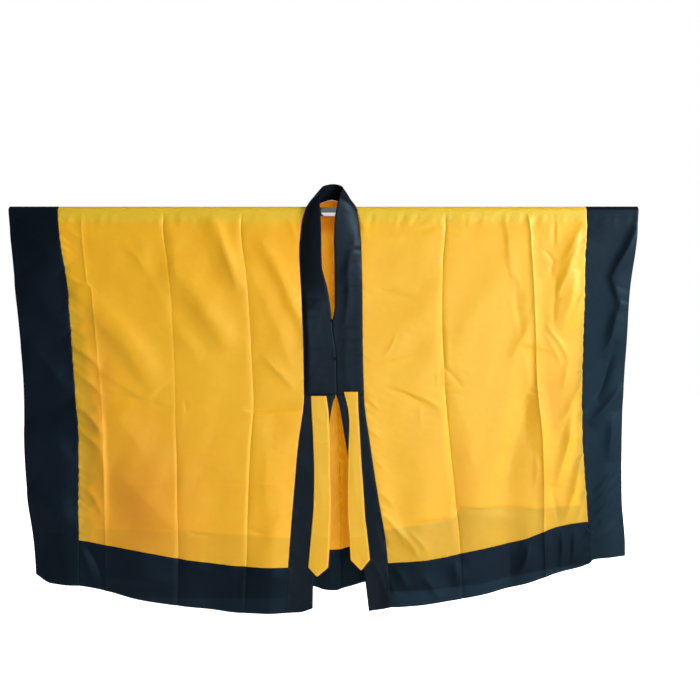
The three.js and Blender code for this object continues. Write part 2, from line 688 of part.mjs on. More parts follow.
// Each closure is a flattened knot that bridges the meeting edges of the neck band.
for (const { name, x, drop } of CLOSURES) {
  const { width, height, depth } = CLOSURE_SIZE;
  const knot = new THREE.SphereGeometry(1, 12, 8).scale(width / 2, depth / 2, height / 2);
  const mesh = addBlack(name, knot);
  const chest = clothPoint(QUARTERS.front_left, x, drop);
  mesh.position.set(x, chest.y - NECK_BAND.outer - CLOSURE_CLEAR - depth / 2, -drop);
}

const pole = addPiece(
  "pole",
  new THREE.CylinderGeometry(POLE_RADIUS, POLE_RADIUS, POLE_LENGTH, 32),
  COLOURS.steel,
  0.3,
  1,
);
pole.rotation.z = Math.PI / 2;

export default robe;
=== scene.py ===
"""A Taoist robe of the crane-cloak kind: golden satin with broad black bands, hung on a steel pole.

Lengths are millimetres until a mesh is made. x runs along the pole, drop is a distance below its axis, and a
negative drop is a place on the quarter turn of cloth that bends over the pole. Left means the -X side.
"""

import bpy
import numpy as np
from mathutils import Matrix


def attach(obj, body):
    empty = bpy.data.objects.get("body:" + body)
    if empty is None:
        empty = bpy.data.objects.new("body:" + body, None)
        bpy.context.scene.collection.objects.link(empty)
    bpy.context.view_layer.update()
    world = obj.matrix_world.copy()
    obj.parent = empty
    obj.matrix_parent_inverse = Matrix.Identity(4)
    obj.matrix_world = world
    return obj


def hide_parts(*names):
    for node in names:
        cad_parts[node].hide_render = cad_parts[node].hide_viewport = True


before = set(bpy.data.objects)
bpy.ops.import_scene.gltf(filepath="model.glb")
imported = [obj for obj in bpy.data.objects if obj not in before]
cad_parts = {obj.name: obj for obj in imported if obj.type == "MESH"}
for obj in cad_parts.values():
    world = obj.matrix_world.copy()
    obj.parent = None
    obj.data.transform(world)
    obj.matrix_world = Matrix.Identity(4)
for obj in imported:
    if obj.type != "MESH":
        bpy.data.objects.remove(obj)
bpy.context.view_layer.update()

MM = 0.001

# ---- Camera ----

CAMERA_PLACE = (0.078, -2.22, -0.4155)
CAMERA_SENSOR, CAMERA_LENS = 36, 37.714

camera = bpy.data.objects.new("camera", bpy.data.cameras.new("camera"))
bpy.context.scene.collection.objects.link(camera)
camera.location = CAMERA_PLACE
camera.rotation_euler = (np.pi / 2, 0, 0)
camera.data.sensor_width = CAMERA_SENSOR
camera.data.lens = CAMERA_LENS
bpy.context.scene.camera = camera

# ---- Sizes ----

POLE_RADIUS = 16
POLE_WALL = 1
POLE_LENGTH = 1860
# The middle surface of the cloth goes over the pole at this radius, in a quarter turn to each side of
# its crest.
BEND_RADIUS = 17.7
BEND_LENGTH = BEND_RADIUS * np.pi / 2
CREST = -BEND_LENGTH
SEAM_GAP = 0.3
HALF_GAP = SEAM_GAP / 2
NECK_SEAM_GAP = 2.8

# Each wall reaches from the first number to the second, measured outwards from the middle surface of
# the cloth.
SATIN = (-0.35, 0.35)
BAND = (-0.7, 0.9)
NECK_BAND = (-0.8, 1.6)
TIE = (1.5, 2.7)

# How far the cloth stands off the pole's tangent plane: a little at the top, and a lean that grows down
# to FULL_DROP. The back leans more in its middle.
HANG_AT_TOP, HANG_AT_TOP_DROP = 3, 80
FRONT_LEAN, BACK_LEAN = 12, 16
BACK_CENTRE_LEAN, BACK_CENTRE_X, BACK_CENTRE_REACH = 38, 54, 420
FULL_DROP = 1200
# Drapes have their full height from the first of these drops down, and the fine relief from the second.
DRAPE_FADE_DROP, RELIEF_FADE_DROP = 40, 34

NECK_CENTRE, NECK_HALF_WIDTH = 22, 74
NECK_RISE, NECK_SETBACK, NECK_SETTLED_DROP = 25, 25, 120
CENTRE_BACK_AT_NECK, CENTRE_BACK_AT_HEM = 26, 54
NECK_BAND_END = 549


def table(columns, *rows):
    """A short table: each named column as an array."""
    return dict(zip(columns.split(), np.array(rows, float).T))


def lines(columns, *rows):
    """A short table whose rows are used one at a time, each as a dictionary."""
    return [dict(zip(columns.split(), row)) for row in rows]


# Sections of the outline: x of the sleeve opening, the sleeve band's seam and the front band's seam.
SECTION = "drop outer sleeve_seam front_seam"
LEFT_SECTIONS = table(
    SECTION,
    (-30, -949, -802, -50), (0, -947, -800, -59), (56, -941, -795, -71), (116, -935, -786, -73),
    (251, -922, -766, -67), (400, -907, -755, -61), (550, -897, -743, -59), (700, -895, -733, -77),
    (850, -885, -733, -90), (1000, -865, -730, -102), (1205, -850, -727, -116),
)
RIGHT_SECTIONS = table(
    SECTION,
    (-30, 946, 789, 92), (0, 944, 789, 101), (56, 939, 789, 109), (116, 932, 784, 111),
    (251, 914, 781, 114), (400, 904, 777, 115), (550, 894, 772, 119), (700, 888, 774, 138),
    (850, 888, 784, 161), (1000, 898, 793, 186), (1205, 898, 797, 202),
)
# Drops of the hem band's seam and of the hem, from the sleeve seam at across 0 to the front or back
# seam at 1.
HEM = "across seam hem"
FRONT_HEM_LEFT = table(
    HEM,
    (0, 983, 1117), (0.1, 995, 1129), (0.29, 1016, 1158), (0.53, 1045, 1182), (0.82, 1063, 1200),
    (1, 1065, 1199),
)
FRONT_HEM_RIGHT = table(
    HEM,
    (0, 929, 1051), (0.05, 932, 1063), (0.15, 944, 1078), (0.34, 986, 1117), (0.55, 1013, 1147),
    (0.8, 1042, 1171), (1, 1052, 1182),
)
BACK_HEM_LEFT = table(
    HEM,
    (0, 985, 1115), (0.18, 1012, 1143), (0.5, 1030, 1158), (0.88, 1035, 1155), (0.93, 1039, 1166),
    (0.98, 1040, 1169), (1, 1039, 1164),
)
BACK_HEM_RIGHT = table(
    HEM,
    (0, 930, 1053), (0.17, 942, 1070), (0.47, 988, 1116), (0.67, 1003, 1130), (0.9, 1015, 1141),
    (1, 1039, 1164),
)
# Ends of the sleeve bands, from the opening to the seam, and of the edge bands, from the seam to the
# free edge.
SLEEVE_END_LEFT = table("across hem", (0, 1084), (0.33, 1110), (1, 1117))
SLEEVE_END_RIGHT = table("across hem", (0, 1029), (0.43, 1033), (0.9, 1040), (1, 1051))
FREE_EDGE_LEFT = table(
    "drop edge",
    (540, 34), (557, 33), (566, 28), (634, 16), (744, 5), (983, -20.5), (1087, -32), (1205, -34),
)
FREE_EDGE_RIGHT = table(
    "drop edge", (540, 38), (557, 39), (566, 43), (659, 60), (732, 72), (998, 111), (1205, 136)
)
EDGE_BAND_END_LEFT = table("across hem", (0, 1199), (0.5, 1198), (1, 1186))
EDGE_BAND_END_RIGHT = table("across hem", (0, 1182), (0.5, 1191), (1, 1195))

# Pressed creases: where each runs across its panel on the way down. Each has a broad fold, with its
# height and its width towards the sleeve and towards the middle, and a fine pressed line. A positive
# height is a ridge towards the onlooker.
CREASE = "drop across height sleeve_width inner_width line"
CREASES = {
    "front_left": [
        table(
            CREASE,
            (0, 0.098, 1.3, 20, 16, 0.6), (120, 0.090, 1.0, 20, 20, 0.7), (214, 0.086, 1.0, 18, 20, 0.7),
            (230, 0.103, 1.4, 18, 20, 0.6), (383, 0.107, 1.3, 28, 22, 0.5),
            (580, 0.112, 1.4, 34, 12, 0.3), (690, 0.117, 2.0, 44, 10, 0.35),
            (900, 0.124, 2.0, 44, 10, 0.35), (1000, 0.126, 1.6, 24, 18, 0.6),
            (1200, 0.128, 1.2, 20, 18, 0.8),
        ),
        table(
            CREASE,
            (0, 0.429, -3.5, 12, 12, -0.8), (50, 0.431, -1.6, 14, 16, -0.7),
            (167, 0.439, -1.0, 18, 20, -0.5), (365, 0.439, -0.8, 18, 22, -0.3),
            (598, 0.435, -0.8, 14, 20, -0.3), (742, 0.449, -2.1, 9, 20, -0.6),
            (900, 0.462, -2.4, 9, 24, -0.6), (1042, 0.471, -3.4, 18, 34, -0.6),
            (1200, 0.474, -1.5, 20, 24, -0.8),
        ),
        table(
            CREASE,
            (0, 0.748, -3.2, 12, 16, -0.8), (80, 0.755, -1.8, 16, 20, -0.7),
            (194, 0.769, -1.4, 18, 24, -0.5), (300, 0.771, -2.0, 18, 34, -0.35),
            (440, 0.773, -1.8, 18, 32, -0.35), (610, 0.78, -1.6, 10, 20, -0.5),
            (700, 0.782, -2.3, 9, 22, -0.6), (880, 0.789, -2.3, 9, 22, -0.6),
            (1063, 0.799, -1.8, 18, 20, -0.6), (1200, 0.8, -1.2, 20, 18, -0.8),
        ),
    ],
    "front_right": [
        table(
            CREASE,
            (0, 0.258, 2.2, 18, 10, 0.8), (152, 0.236, 2.2, 24, 14, 0.8), (323, 0.221, 3.0, 30, 16, 0.8),
            (520, 0.204, 4.2, 32, 18, 0.9), (552, 0.201, 7.6, 36, 46, 0.8),
            (690, 0.189, 7.8, 36, 48, 0.8), (745, 0.192, 5.4, 34, 26, 0.9),
            (879, 0.207, 3.6, 28, 22, 1.0), (965, 0.22, 2.6, 24, 20, 0.9),
            (1200, 0.224, 1.2, 18, 16, 0.8),
        ),
        table(
            CREASE,
            (0, 0.618, -2.0, 14, 14, -0.7), (194, 0.638, -1.4, 16, 16, -0.7),
            (290, 0.64, -2.0, 16, 18, -0.6), (380, 0.637, -2.8, 16, 22, -0.6),
            (440, 0.632, -3.0, 14, 22, -0.7), (470, 0.629, -1.4, 14, 18, -0.2),
            (515, 0.627, -1.4, 16, 16, -0.3), (545, 0.625, -3.0, 24, 16, -1.0),
            (600, 0.623, -4.2, 44, 16, -1.0), (750, 0.624, -6.2, 72, 22, -0.8),
            (900, 0.631, -6.0, 72, 24, -0.7), (1027, 0.637, -2.6, 28, 20, -0.9),
            (1200, 0.64, -1.4, 20, 18, -0.6),
        ),
    ],
    "back_left": [
        table(
            CREASE,
            (0, 0.12, 1.5, 20, 18, 0.9), (400, 0.115, 3.0, 24, 26, 1.0), (1160, 0.13, 1.6, 20, 22, 0.9),
        ),
        table(
            CREASE,
            (0, 0.46, -2.0, 18, 18, -0.9), (500, 0.475, -3.6, 26, 24, -1.0),
            (1160, 0.47, -2.0, 22, 22, -0.9),
        ),
        table(
            CREASE,
            (0, 0.79, 1.8, 18, 20, 0.9), (600, 0.805, 4.0, 26, 30, 1.0), (1160, 0.8, 2.2, 22, 22, 0.9),
        ),
    ],
    "back_right": [
        table(
            CREASE,
            (0, 0.25, -1.6, 20, 18, -0.9), (450, 0.232, -3.4, 26, 24, -1.0),
            (1150, 0.245, -2.0, 22, 22, -0.9),
        ),
        table(
            CREASE,
            (0, 0.59, 1.8, 20, 22, 0.9), (550, 0.61, 4.4, 26, 32, 1.0), (1150, 0.6, 2.2, 22, 24, 0.9),
        ),
    ],
}
CREASE_EDGE = 1.6
LINE_WIDTH = 5

# Soft drapes: low rounded folds from one place to another, the large forms of the hanging cloth. One
# whose line ends below REACHES_HEM_DROP keeps its height down to the hem.
DRAPE = "from_x from_drop to_x to_drop rise width"
DRAPES = {
    "front_left": lines(
        DRAPE,
        (-650, 270, -500, 500, 3, 34), (-470, 160, -290, 400, 4, 36), (-350, 20, -190, 330, 3, 36),
        (-590, 560, -545, 1200, 6, 80), (-700, 600, -430, 1000, 6, 75), (-330, 700, -330, 1210, -6, 50),
        (-150, 650, -160, 1210, 8, 45), (-800, 500, -760, 1130, 8, 40),
    ),
    "front_right": lines(
        DRAPE,
        (790, 60, 660, 430, 7, 38), (610, 350, 490, 900, 3, 42), (320, 330, 190, 520, -2, 34),
        (300, 640, 290, 1190, 8, 48), (560, 700, 545, 1120, -11, 44), (850, 400, 845, 1040, 7, 36),
        (126, 600, 215, 1120, 5, 42), (210, 980, 160, 1200, -7, 30),
    ),
    "back_left": lines(
        DRAPE,
        (-640, 180, -480, 560, 7, 40), (-420, 420, -460, 1170, 10, 52), (-180, 560, -210, 1170, -9, 48),
        (-60, 120, -30, 1170, 8, 45), (36, 470, 56, 1230, 13, 27),
    ),
    "back_right": lines(
        DRAPE,
        (600, 120, 470, 480, 6, 38), (650, 480, 690, 1090, 9, 46), (380, 600, 400, 1140, -9, 50),
        (170, 260, 150, 1160, 9, 46), (36, 470, 56, 1230, 13, 27),
    ),
}
REACHES_HEM_DROP = 1000
SWELL_TO_HEM = 0.7

# Small folds and wrinkles, with the half width on the left and on the right of the way from first to
# last, how far the line bows to the right, and an edge exponent: 1 is a sharp crest and 2 a round one.
# Each line also wanders a little, and dies away within FOLD_FADE past its ends.
FOLD_WANDER, FOLD_WANDER_LENGTH = 1.5, 23
FOLD_SWELL, FOLD_END_SHARE, FOLD_FADE = 0.55, 0.04, 9
FOLD = "from_x from_drop to_x to_drop bow rise left right edge"
FOLDS = {
    "front_left": lines(
        FOLD,
        (-370, -61, -252, 220, 0, 6.4, 30, 20, 1.8), (-316, 45, -263, 230, -2, 2.2, 10, 14, 1.5),
        (-446, 146, -282, 408, 6, 6.2, 34, 44, 2.1), (-464, 18, -446, 230, 4, 2.6, 24, 30, 1.6),
        (-439, 354, -377, 446, 4, 2.4, 24, 24, 1.8), (-734, 236, -501, 530, 7, 8.6, 32, 44, 2.1),
        (-774, 197, -700, 223, -3, 2.4, 7, 9, 1.2), (-785, 49, -728, 84, 3, 1.8, 9, 12, 1.3),
        (-746, 407, -674, 465, 4, 6.4, 12, 15, 1.3), (-737, 488, -668, 543, 4, 5.8, 11, 14, 1.3),
        (-746, 574, -663, 659, 5, 7.0, 12, 16, 1.3), (-730, 659, -668, 705, 3, 5.0, 10, 13, 1.3),
        (-707, 830, -663, 903, 4, 4.2, 11, 13, 1.3), (-676, 583, -650, 927, 6, 5.0, 30, 10, 1.5),
        (-667, 483, -527, 574, 4, 3.4, 13, 26, 1.4), (-660, 543, -457, 590, 5, -2.0, 13, 6, 1.2),
        (-633, 603, -487, 804, 7, 5.0, 44, 44, 1.8), (-619, 782, -446, 950, 4, 6.0, 50, 40, 1.6),
        (-587, 114, -538, 174, 3, 2.4, 8, 12, 1.3), (-183, 89, -37, 407, 4, 6.6, 21, 28, 1.8),
        (-226, 164, -95, 477, 10, 3.4, 28, 36, 1.7), (-183, 438, -97, 527, 5, 4.6, 14, 20, 1.4),
        (-227, 597, -76, 594, 2, -6.0, 5, 14, 1.3), (-308, 814, -223, 815, 1, -1.8, 5, 7, 1.0),
        (-223, 816, -130, 819, 1, 1.8, 7, 5, 1.0), (-584, 814, -492, 817, 0, 1.6, 9, 5, 1.1),
        (-616, 954, -444, 952, 2, -3.0, 4, 14, 1.1), (-407, 957, -338, 973, -4, -2.6, 4, 13, 1.1),
        (-227, 952, -169, 963, -3, -2.8, 5, 14, 1.2), (-148, 933, -111, 904, 3, 2.2, 8, 8, 1.2),
        (-413, 566, -411, 603, 0, -1.6, 4, 4, 1.0), (-708, 1000, -655, 1112, 3, -6.0, 13, 11, 1.3),
        (-724, 1010, -690, 1090, 3, 2.0, 9, 10, 1.3), (-557, 63, -473, 301, -10, 1.8, 26, 18, 1.7),
        (-183, 618, -174, 918, 3, 1.6, 22, 22, 1.7), (-113, 1, -86, 80, 2, 2.0, 8, 9, 1.2),
        (-271, -52, -263, 10, 1, -2.2, 7, 7, 1.2), (-167, -57, -158, 5, 1, -2.4, 7, 7, 1.2),
        (-125, -52, -111, 18, 2, -2.2, 8, 8, 1.2), (-915, 40, -785, 160, 0, 9.5, 40, 46, 1.8),
        (-905, 200, -770, 350, 4, 11.4, 46, 46, 1.8), (-885, 395, -762, 545, 4, 10.4, 30, 34, 1.6),
        (-880, 640, -740, 760, 0, 7.6, 40, 34, 1.8), (-870, 830, -740, 935, 0, 9.5, 50, 40, 1.8),
        (-880, 958, -740, 960, 0, -1.4, 8, 5, 1.1), (-640, 1092, -450, 1106, 0, 5.8, 16, 50, 1.6),
        (-430, 1062, -265, 1078, 0, 5.1, 44, 14, 1.6), (-232, 1085, -120, 1092, 0, 4.2, 20, 30, 1.5),
        (-246, 1080, -240, 1190, 0, 1.8, 7, 16, 1.3),
    ),
    "front_right": lines(
        FOLD,
        (539, -61, 569, 239, -3, 2.7, 8, 28, 1.4), (563, 205, 590, 385, 3, -2.2, 7, 22, 1.4),
        (572, 186, 590, 230, 2, 1.6, 8, 8, 1.3), (625, 305, 562, 442, 4, 3.4, 15, 22, 1.5),
        (599, 424, 613, 548, 2, 2.6, 14, 14, 1.5), (630, 416, 507, 888, 16, -9.0, 54, 46, 1.7),
        (687, -43, 690, 107, 4, -3.0, 7, 8, 1.2), (696, -17, 699, 98, 2, 2.4, 7, 7, 1.2),
        (657, 117, 687, 154, 3, -2.8, 5, 5, 1.1), (687, 153, 682, 197, -3, -2.6, 5, 5, 1.1),
        (694, 197, 689, 363, -3, -2.6, 8, 10, 1.3), (778, 28, 716, 150, 4, 3.6, 12, 10, 1.3),
        (759, 89, 696, 248, 6, 5.0, 15, 13, 1.4), (750, 186, 710, 364, 6, 6.0, 16, 13, 1.4),
        (780, 238, 728, 352, 3, 4.4, 12, 10, 1.3), (784, 486, 700, 640, 5, 4.6, 16, 12, 1.4),
        (782, 588, 738, 690, 3, 3.8, 12, 10, 1.3), (782, 826, 750, 938, 3, 3.4, 10, 9, 1.3),
        (667, 343, 734, 449, 4, 3.6, 7, 10, 1.2), (662, 373, 706, 456, 3, 2.6, 6, 8, 1.2),
        (747, 583, 697, 813, 6, 8.0, 17, 14, 1.6), (772, 724, 722, 918, 5, 7.6, 16, 13, 1.6),
        (729, 460, 715, 530, 3, 2.4, 10, 9, 1.3), (687, 848, 696, 918, 0, -2.0, 8, 8, 1.3),
        (159, 234, 251, 248, -2, -2.2, 7, 4, 1.1), (177, 451, 270, 435, -3, 1.5, 6, 4, 1.1),
        (182, 433, 214, 370, -3, 1.2, 5, 5, 1.1), (353, 460, 406, 521, 3, -2.2, 5, 6, 1.1),
        (353, 460, 350, 511, -2, -1.8, 5, 5, 1.1), (341, 528, 383, 521, 2, -2.4, 7, 5, 1.1),
        (330, 486, 327, 513, 0, -1.6, 5, 5, 1.2), (374, 550, 401, 544, 0, -1.4, 5, 4, 1.1),
        (196, 530, 293, 576, 4, -2.8, 11, 5, 1.2), (260, 546, 348, 588, 4, 3.4, 9, 7, 1.2),
        (288, 583, 292, 645, 0, 1.4, 12, 5, 1.2), (613, 537, 646, 550, 0, -2.8, 7, 4, 1.1),
        (394, 890, 609, 888, -2, -4.0, 11, 4, 1.1), (224, 943, 387, 922, 3, -2.6, 9, 5, 1.1),
        (632, 731, 634, 817, 2, 3.0, 9, 8, 1.3), (124, 562, 159, 587, 3, 1.8, 7, 9, 1.2),
        (133, 650, 164, 677, 3, 1.6, 7, 9, 1.2), (149, 747, 180, 774, 2, 1.6, 7, 8, 1.2),
        (159, 835, 203, 878, 4, 2.4, 8, 10, 1.2), (177, 901, 242, 998, 6, 3.0, 10, 11, 1.2),
        (210, 945, 283, 1030, 5, 3.6, 9, 10, 1.2), (251, 954, 309, 1016, 4, 2.8, 9, 10, 1.2),
        (166, 927, 193, 1016, -3, -2.6, 9, 8, 1.2), (352, 170, 267, 359, 8, 1.7, 38, 30, 1.9),
        (547, 114, 427, 359, 10, 2.4, 42, 36, 1.9), (113, 18, 126, 80, 2, 1.8, 7, 7, 1.2),
        (136, -43, 143, 18, 1, -2.0, 6, 6, 1.2), (210, -49, 219, 18, 2, 2.2, 7, 7, 1.2),
        (233, -49, 240, 27, 2, -2.4, 6, 6, 1.2), (274, -52, 286, 33, 2, -3.0, 6, 7, 1.2),
        (309, 41, 336, 47, 0, -1.6, 5, 4, 1.1), (611, -52, 622, 22, 2, 2.2, 6, 6, 1.2),
        (938, 50, 862, 200, 0, 8.5, 12, 45, 1.5), (862, 195, 886, 290, 0, 6.8, 10, 34, 1.5),
        (886, 280, 842, 430, 0, 8.5, 14, 44, 1.5), (872, 400, 815, 560, 3, -8.5, 17, 16, 1.4),
        (884, 528, 800, 632, 4, 7.1, 14, 22, 1.4), (860, 610, 850, 738, 3, 6.8, 14, 40, 1.6),
        (886, 742, 796, 852, 3, 2.6, 7, 8, 1.3), (890, 775, 794, 888, 3, 2.6, 7, 8, 1.3),
        (892, 808, 794, 925, 3, 2.6, 7, 8, 1.3), (892, 845, 798, 958, 3, 2.4, 8, 8, 1.3),
        (894, 905, 806, 990, 3, 2.4, 10, 10, 1.3), (712, 962, 705, 1055, 2, 5.8, 8, 10, 1.3),
        (750, 955, 743, 1046, -2, 5.8, 8, 10, 1.3), (674, 980, 664, 1066, 2, 4.2, 9, 9, 1.3),
        (612, 1006, 584, 1084, 3, 6.4, 14, 18, 1.5), (560, 1020, 556, 1092, 0, -2.4, 12, 12, 1.5),
        (300, 1096, 346, 1158, 3, 6.4, 14, 24, 1.5), (392, 1052, 402, 1118, 0, 6.4, 18, 18, 1.6),
        (152, 1050, 190, 1168, 3, 4.0, 12, 14, 1.4), (176, 1058, 214, 1150, 2, 3.0, 9, 12, 1.3),
        (216, 1070, 250, 1130, 2, 2.6, 10, 14, 1.4),
    ),
    "back_left": lines(
        FOLD,
        (-640, 240, -500, 470, 8, 3.2, 12, 16, 1.3), (-300, 60, -200, 330, 8, 3.0, 16, 14, 1.3),
        (-440, 600, -250, 606, 0, 1.5, 8, 9, 1.0), (-600, 905, -360, 900, 0, 1.7, 8, 10, 1.0),
        (-120, 500, -40, 640, 5, 2.0, 10, 10, 1.2), (-720, 380, -650, 480, 5, 2.2, 9, 12, 1.2),
    ),
    "back_right": lines(
        FOLD,
        (640, 160, 520, 420, -8, 3.2, 14, 12, 1.3), (260, 40, 330, 300, 6, 2.6, 16, 12, 1.3),
        (180, 590, 420, 596, 0, 1.5, 8, 9, 1.0), (420, 880, 660, 884, 0, 1.8, 8, 11, 1.0),
        (120, 420, 190, 540, 5, 2.0, 10, 9, 1.2), (740, 500, 690, 640, -5, 2.2, 12, 9, 1.2),
    ),
}

# Folds of the neck band down the chest. Its lower half is held by the closures, and its upper half
# stands open.
NECK_FOLDS = lines(
    FOLD,
    (-6, 70, 6, 236, 0, 7.0, 52, 10, 1.5), (-30, 268, 5, 282, 0, 2.4, 16, 10, 1.5),
    (-54, 246, -56, 545, 0, 9.0, 8, 80, 1.2), (102, 20, 98, 250, 0, 1.6, 56, 18, 1.8),
    (74, 110, 66, 330, 3, 3.0, 9, 11, 1.4), (96, 60, 60, 210, 4, 2.6, 14, 12, 1.5),
    (66, 330, 72, 545, -3, 2.0, 22, 22, 1.6),
)

# Ripples along the seams and all over the cloth: their height and length, and how much of the second
# direction counts. A seam's ripples die away over its reach.
RIPPLE = "height length lean seed"
SIDE_RIPPLES = lines(RIPPLE, (0.7, 40, 0.1, 0), (0.45, 19, 0.1, 1))
HEM_RIPPLES = lines(RIPPLE, (0.6, 38, 0.3, 2), (0.35, 18, 0.3, 3))
TOP_RIPPLES = lines(RIPPLE, (0.64, 30, 0, 4))
WAVES = lines(RIPPLE, (0.6, 230, 0.6, 5), (0.3, 90, 0.7, 6), (0.05, 30, 1, 7))
NECK_RIPPLES = lines(RIPPLE, (0.25, 80, 0.4, 71), (0.08, 26, 1, 72))
SEAM_SLANT, TOP_SLANT = 0.8, 0.2
SLEEVE_SEAM_REACH, INNER_SEAM_REACH, HEM_SEAM_REACH = 17, 12, 11
INNER_SEAM_SHARE, HEM_SEAM_SHARE, BAND_SHARE = 0.6, 0.6, 0.35
TOP_DROP, TOP_REACH_SQUARED = 14, 500

# Painted see-through shade: where the back's dark facings lie behind a front, its colour is painted duller,
# from a drop that changes along the hem, and to a width inside the sleeve seam, each with a soft edge.
FACINGS = {
    "front_left": table(
        "x drop", (-740, 946), (-600, 951), (-440, 954), (-335, 962), (-220, 968), (-100, 976)
    ),
    "front_right": table("x drop", (150, 960), (230, 944), (390, 918), (410, 888), (600, 889), (790, 876)),
}
SLEEVE_FACINGS = {
    "front_left": table("drop width", (0, -20), (150, 8), (300, 30), (640, 52), (900, 40), (1000, 40)),
    "front_right": table("drop width", (0, -20), (200, -8), (500, 12), (900, 24), (1000, 24)),
}
FACING_EDGE, SLEEVE_FACING_EDGE = 9, 30
FACING_WAVE, FACING_WAVE_LENGTH = 3, 60
HEM_SEE_THROUGH_SHADE = {"front_left": 0.45, "front_right": 0.72}
SLEEVE_SEE_THROUGH_SHADE = 0.85

# Hollows of the cloth that face away from the light, with less gloss and a painted shade of duller colour:
# the share of the inside colour at the middle of a soft oval.
HOLLOW = "x drop half_width half_height share"
PAINTED_HOLLOW_SHADES = {
    "front_left": lines(HOLLOW, (-556, 900, 150, 250, 0.58), (-668, 560, 40, 240, 0.36)),
    "front_right": lines(
        HOLLOW, (690, 560, 50, 90, 0.16), (648, 800, 34, 70, 0.2), (405, 835, 44, 130, 0.14)
    ),
}

# Painted shade: the satin on the pole and just below it takes its over-pole colour, duller and olive, down to
# OVER_POLE_DROP, and the inner skin its full inside colour down to INSIDE_FULL_DROP. The back's inside is
# painted darker behind the neck opening and beside the ridge down its middle.
OVER_POLE_DROP, OVER_POLE_FADE = 46, 30
INSIDE_LEAST, INSIDE_FULL_DROP, INSIDE_FULL_FADE = 0.12, 80, 50
INSIDE_AT_NECK, INSIDE_AT_NECK_DROP, INSIDE_AT_NECK_FADE = 0.3, 400, 60
RIDGE_TOP, RIDGE_END, RIDGE_DROP, RIDGE_LENGTH = 36, 56, 470, 760
RIDGE_SHADE, RIDGE_SHADE_EDGE, RIDGE_SHADE_WIDTH, RIDGE_SHADE_FADE = 0.4, 12, 140, 60
RIDGE_SHADE_DROP, RIDGE_SHADE_DROP_FADE = 420, 120

# Painted light on the black bands: their behind colour is lighter and bluer. The front hem bands take it
# where no band lies behind them, less on the left, the back hem bands take half of it all over, and the right
# sleeve bands take more of it lower down and less towards the seam.
HEM_THROUGH_EDGE, HEM_THROUGH_LEFT, HEM_THROUGH_BACK = 6, 0.35, 0.5
SLEEVE_PAINTED_LIGHT, SLEEVE_PAINTED_LIGHT_DROP, SLEEVE_PAINTED_LIGHT_AT_SEAM = 0.9, 600, 0.6
# The hem bands' inner skin takes this share of the painted inside shade.
HEM_BAND_INSIDE_SHADE = 0.1

# Free edges of the neck band down the chest: x of the edge, and how far it stands off the chest.
NECK_EDGE_LEFT = table(
    "drop edge lift",
    (50, -6.5, 24), (76, -6, 22), (116, -6, 18), (163, -5, 13), (226, 8.5, 7), (290, 19, 2),
    (340, 23.5, 0), (430, 34.5, 0), (549, 38, 0),
)
NECK_EDGE_RIGHT = table(
    "drop edge lift",
    (50, 29, 24), (76, 30, 22), (116, 32, 17), (163, 33, 12), (226, 33, 6), (290, 33, 2), (340, 24.5, 0),
    (430, 35.5, 0), (549, 39, 0),
)
# The neck band over the shoulders and round the back of the neck. seam is a drop on a front, or an x on
# the neckline, and edge_x, edge_y, edge_z are the place of its free edge.
NECK_BAND_STANDING = lines(
    "on seam edge_x edge_y edge_z",
    ("front_left", 30, -10, -50, -18),
    ("front_left", 0, -12, -51, 18),
    ("front_left", -10, -12, -48, 32),
    ("front_left", -19, -12, -43, 42),
    ("neckline", -52, -12, -36, 50),
    ("neckline", -38, -10, 4, 73),
    ("neckline", -15, 2, 48, 93),
    ("neckline", 22, 26, 66, 101),
    ("neckline", 60, 47, 48, 93),
    ("neckline", 82, 56, 4, 73),
    ("neckline", 96, 49, -36, 50),
    ("front_right", -19, 48, -43, 42),
    ("front_right", -10, 45, -48, 32),
    ("front_right", 0, 42, -50, 18),
    ("front_right", 30, 35, -48, -18),
)
NECK_BAND_CHEST_TOP = 95
NECK_BAND_BOW = 5
BOW_PER_LIFT = 0.2
# The band's folds show on the chest alone, in front of this depth, and die away towards the seam.
NECK_FOLDS_DEPTH, NECK_FOLDS_FADE, NECK_FOLDS_FROM_SEAM = 14, 10, 0.15

# The ties' two edges on the way down, their points, and their cross folds.
TIE_EDGES = "drop near far"
TIE_LEFT = table(
    TIE_EDGES,
    (553, -38.5, 6.5), (608, -36, 14), (692, -31.5, 17), (784, -29, 18.5), (870, -30, 20),
    (960, -37, 18.5), (1064, -46, 12.5),
)
TIE_LEFT_TIP = {"drop": 1090, "x": -20}
TIE_RIGHT = table(
    TIE_EDGES,
    (541, 60, 101), (600, 73.5, 102.5), (634, 76, 105), (728, 73, 110), (850, 71, 118.5),
    (913, 71.5, 122.5), (968, 75.5, 129), (1041, 80, 137),
)
TIE_RIGHT_TIP = {"drop": 1071, "x": 111}
TIE_TIP_HALF_WIDTH = 1.5
TIE_FOLDS = {
    "left": lines(
        FOLD,
        (-40, 690, 30, 686, 0, 1.8, 8, 5, 1.1), (-40, 970, 30, 972, 0, 1.6, 8, 5, 1.0),
        (-30, 610, 10, 640, 2, 0.8, 8, 8, 1.3), (-20, 730, -4, 930, 3, 0.7, 12, 10, 1.5),
    ),
    "right": lines(
        FOLD,
        (60, 604, 110, 612, 2, 1.8, 8, 5, 1.1), (70, 970, 140, 972, 0, 1.6, 8, 5, 1.0),
        (84, 640, 100, 900, -3, 0.8, 12, 10, 1.5),
    ),
}
# A tie lies this far off the cloth, and further where it passes the neck band's end.
TIE_CLEAR, TIE_CLEAR_AT_TOP, TIE_TOP_DROP, TIE_TOP_FADE = 0.8, 1, 560, 8

# x and drop of each closure, and its size along x, y and z.
CLOSURES = {"closure_upper": (24, 328), "closure_lower": (35, 441)}
CLOSURE_SIZE = (13, 5, 11)
CLOSURE_CLEAR = 0.7
CORD_RADIUS = 1.25

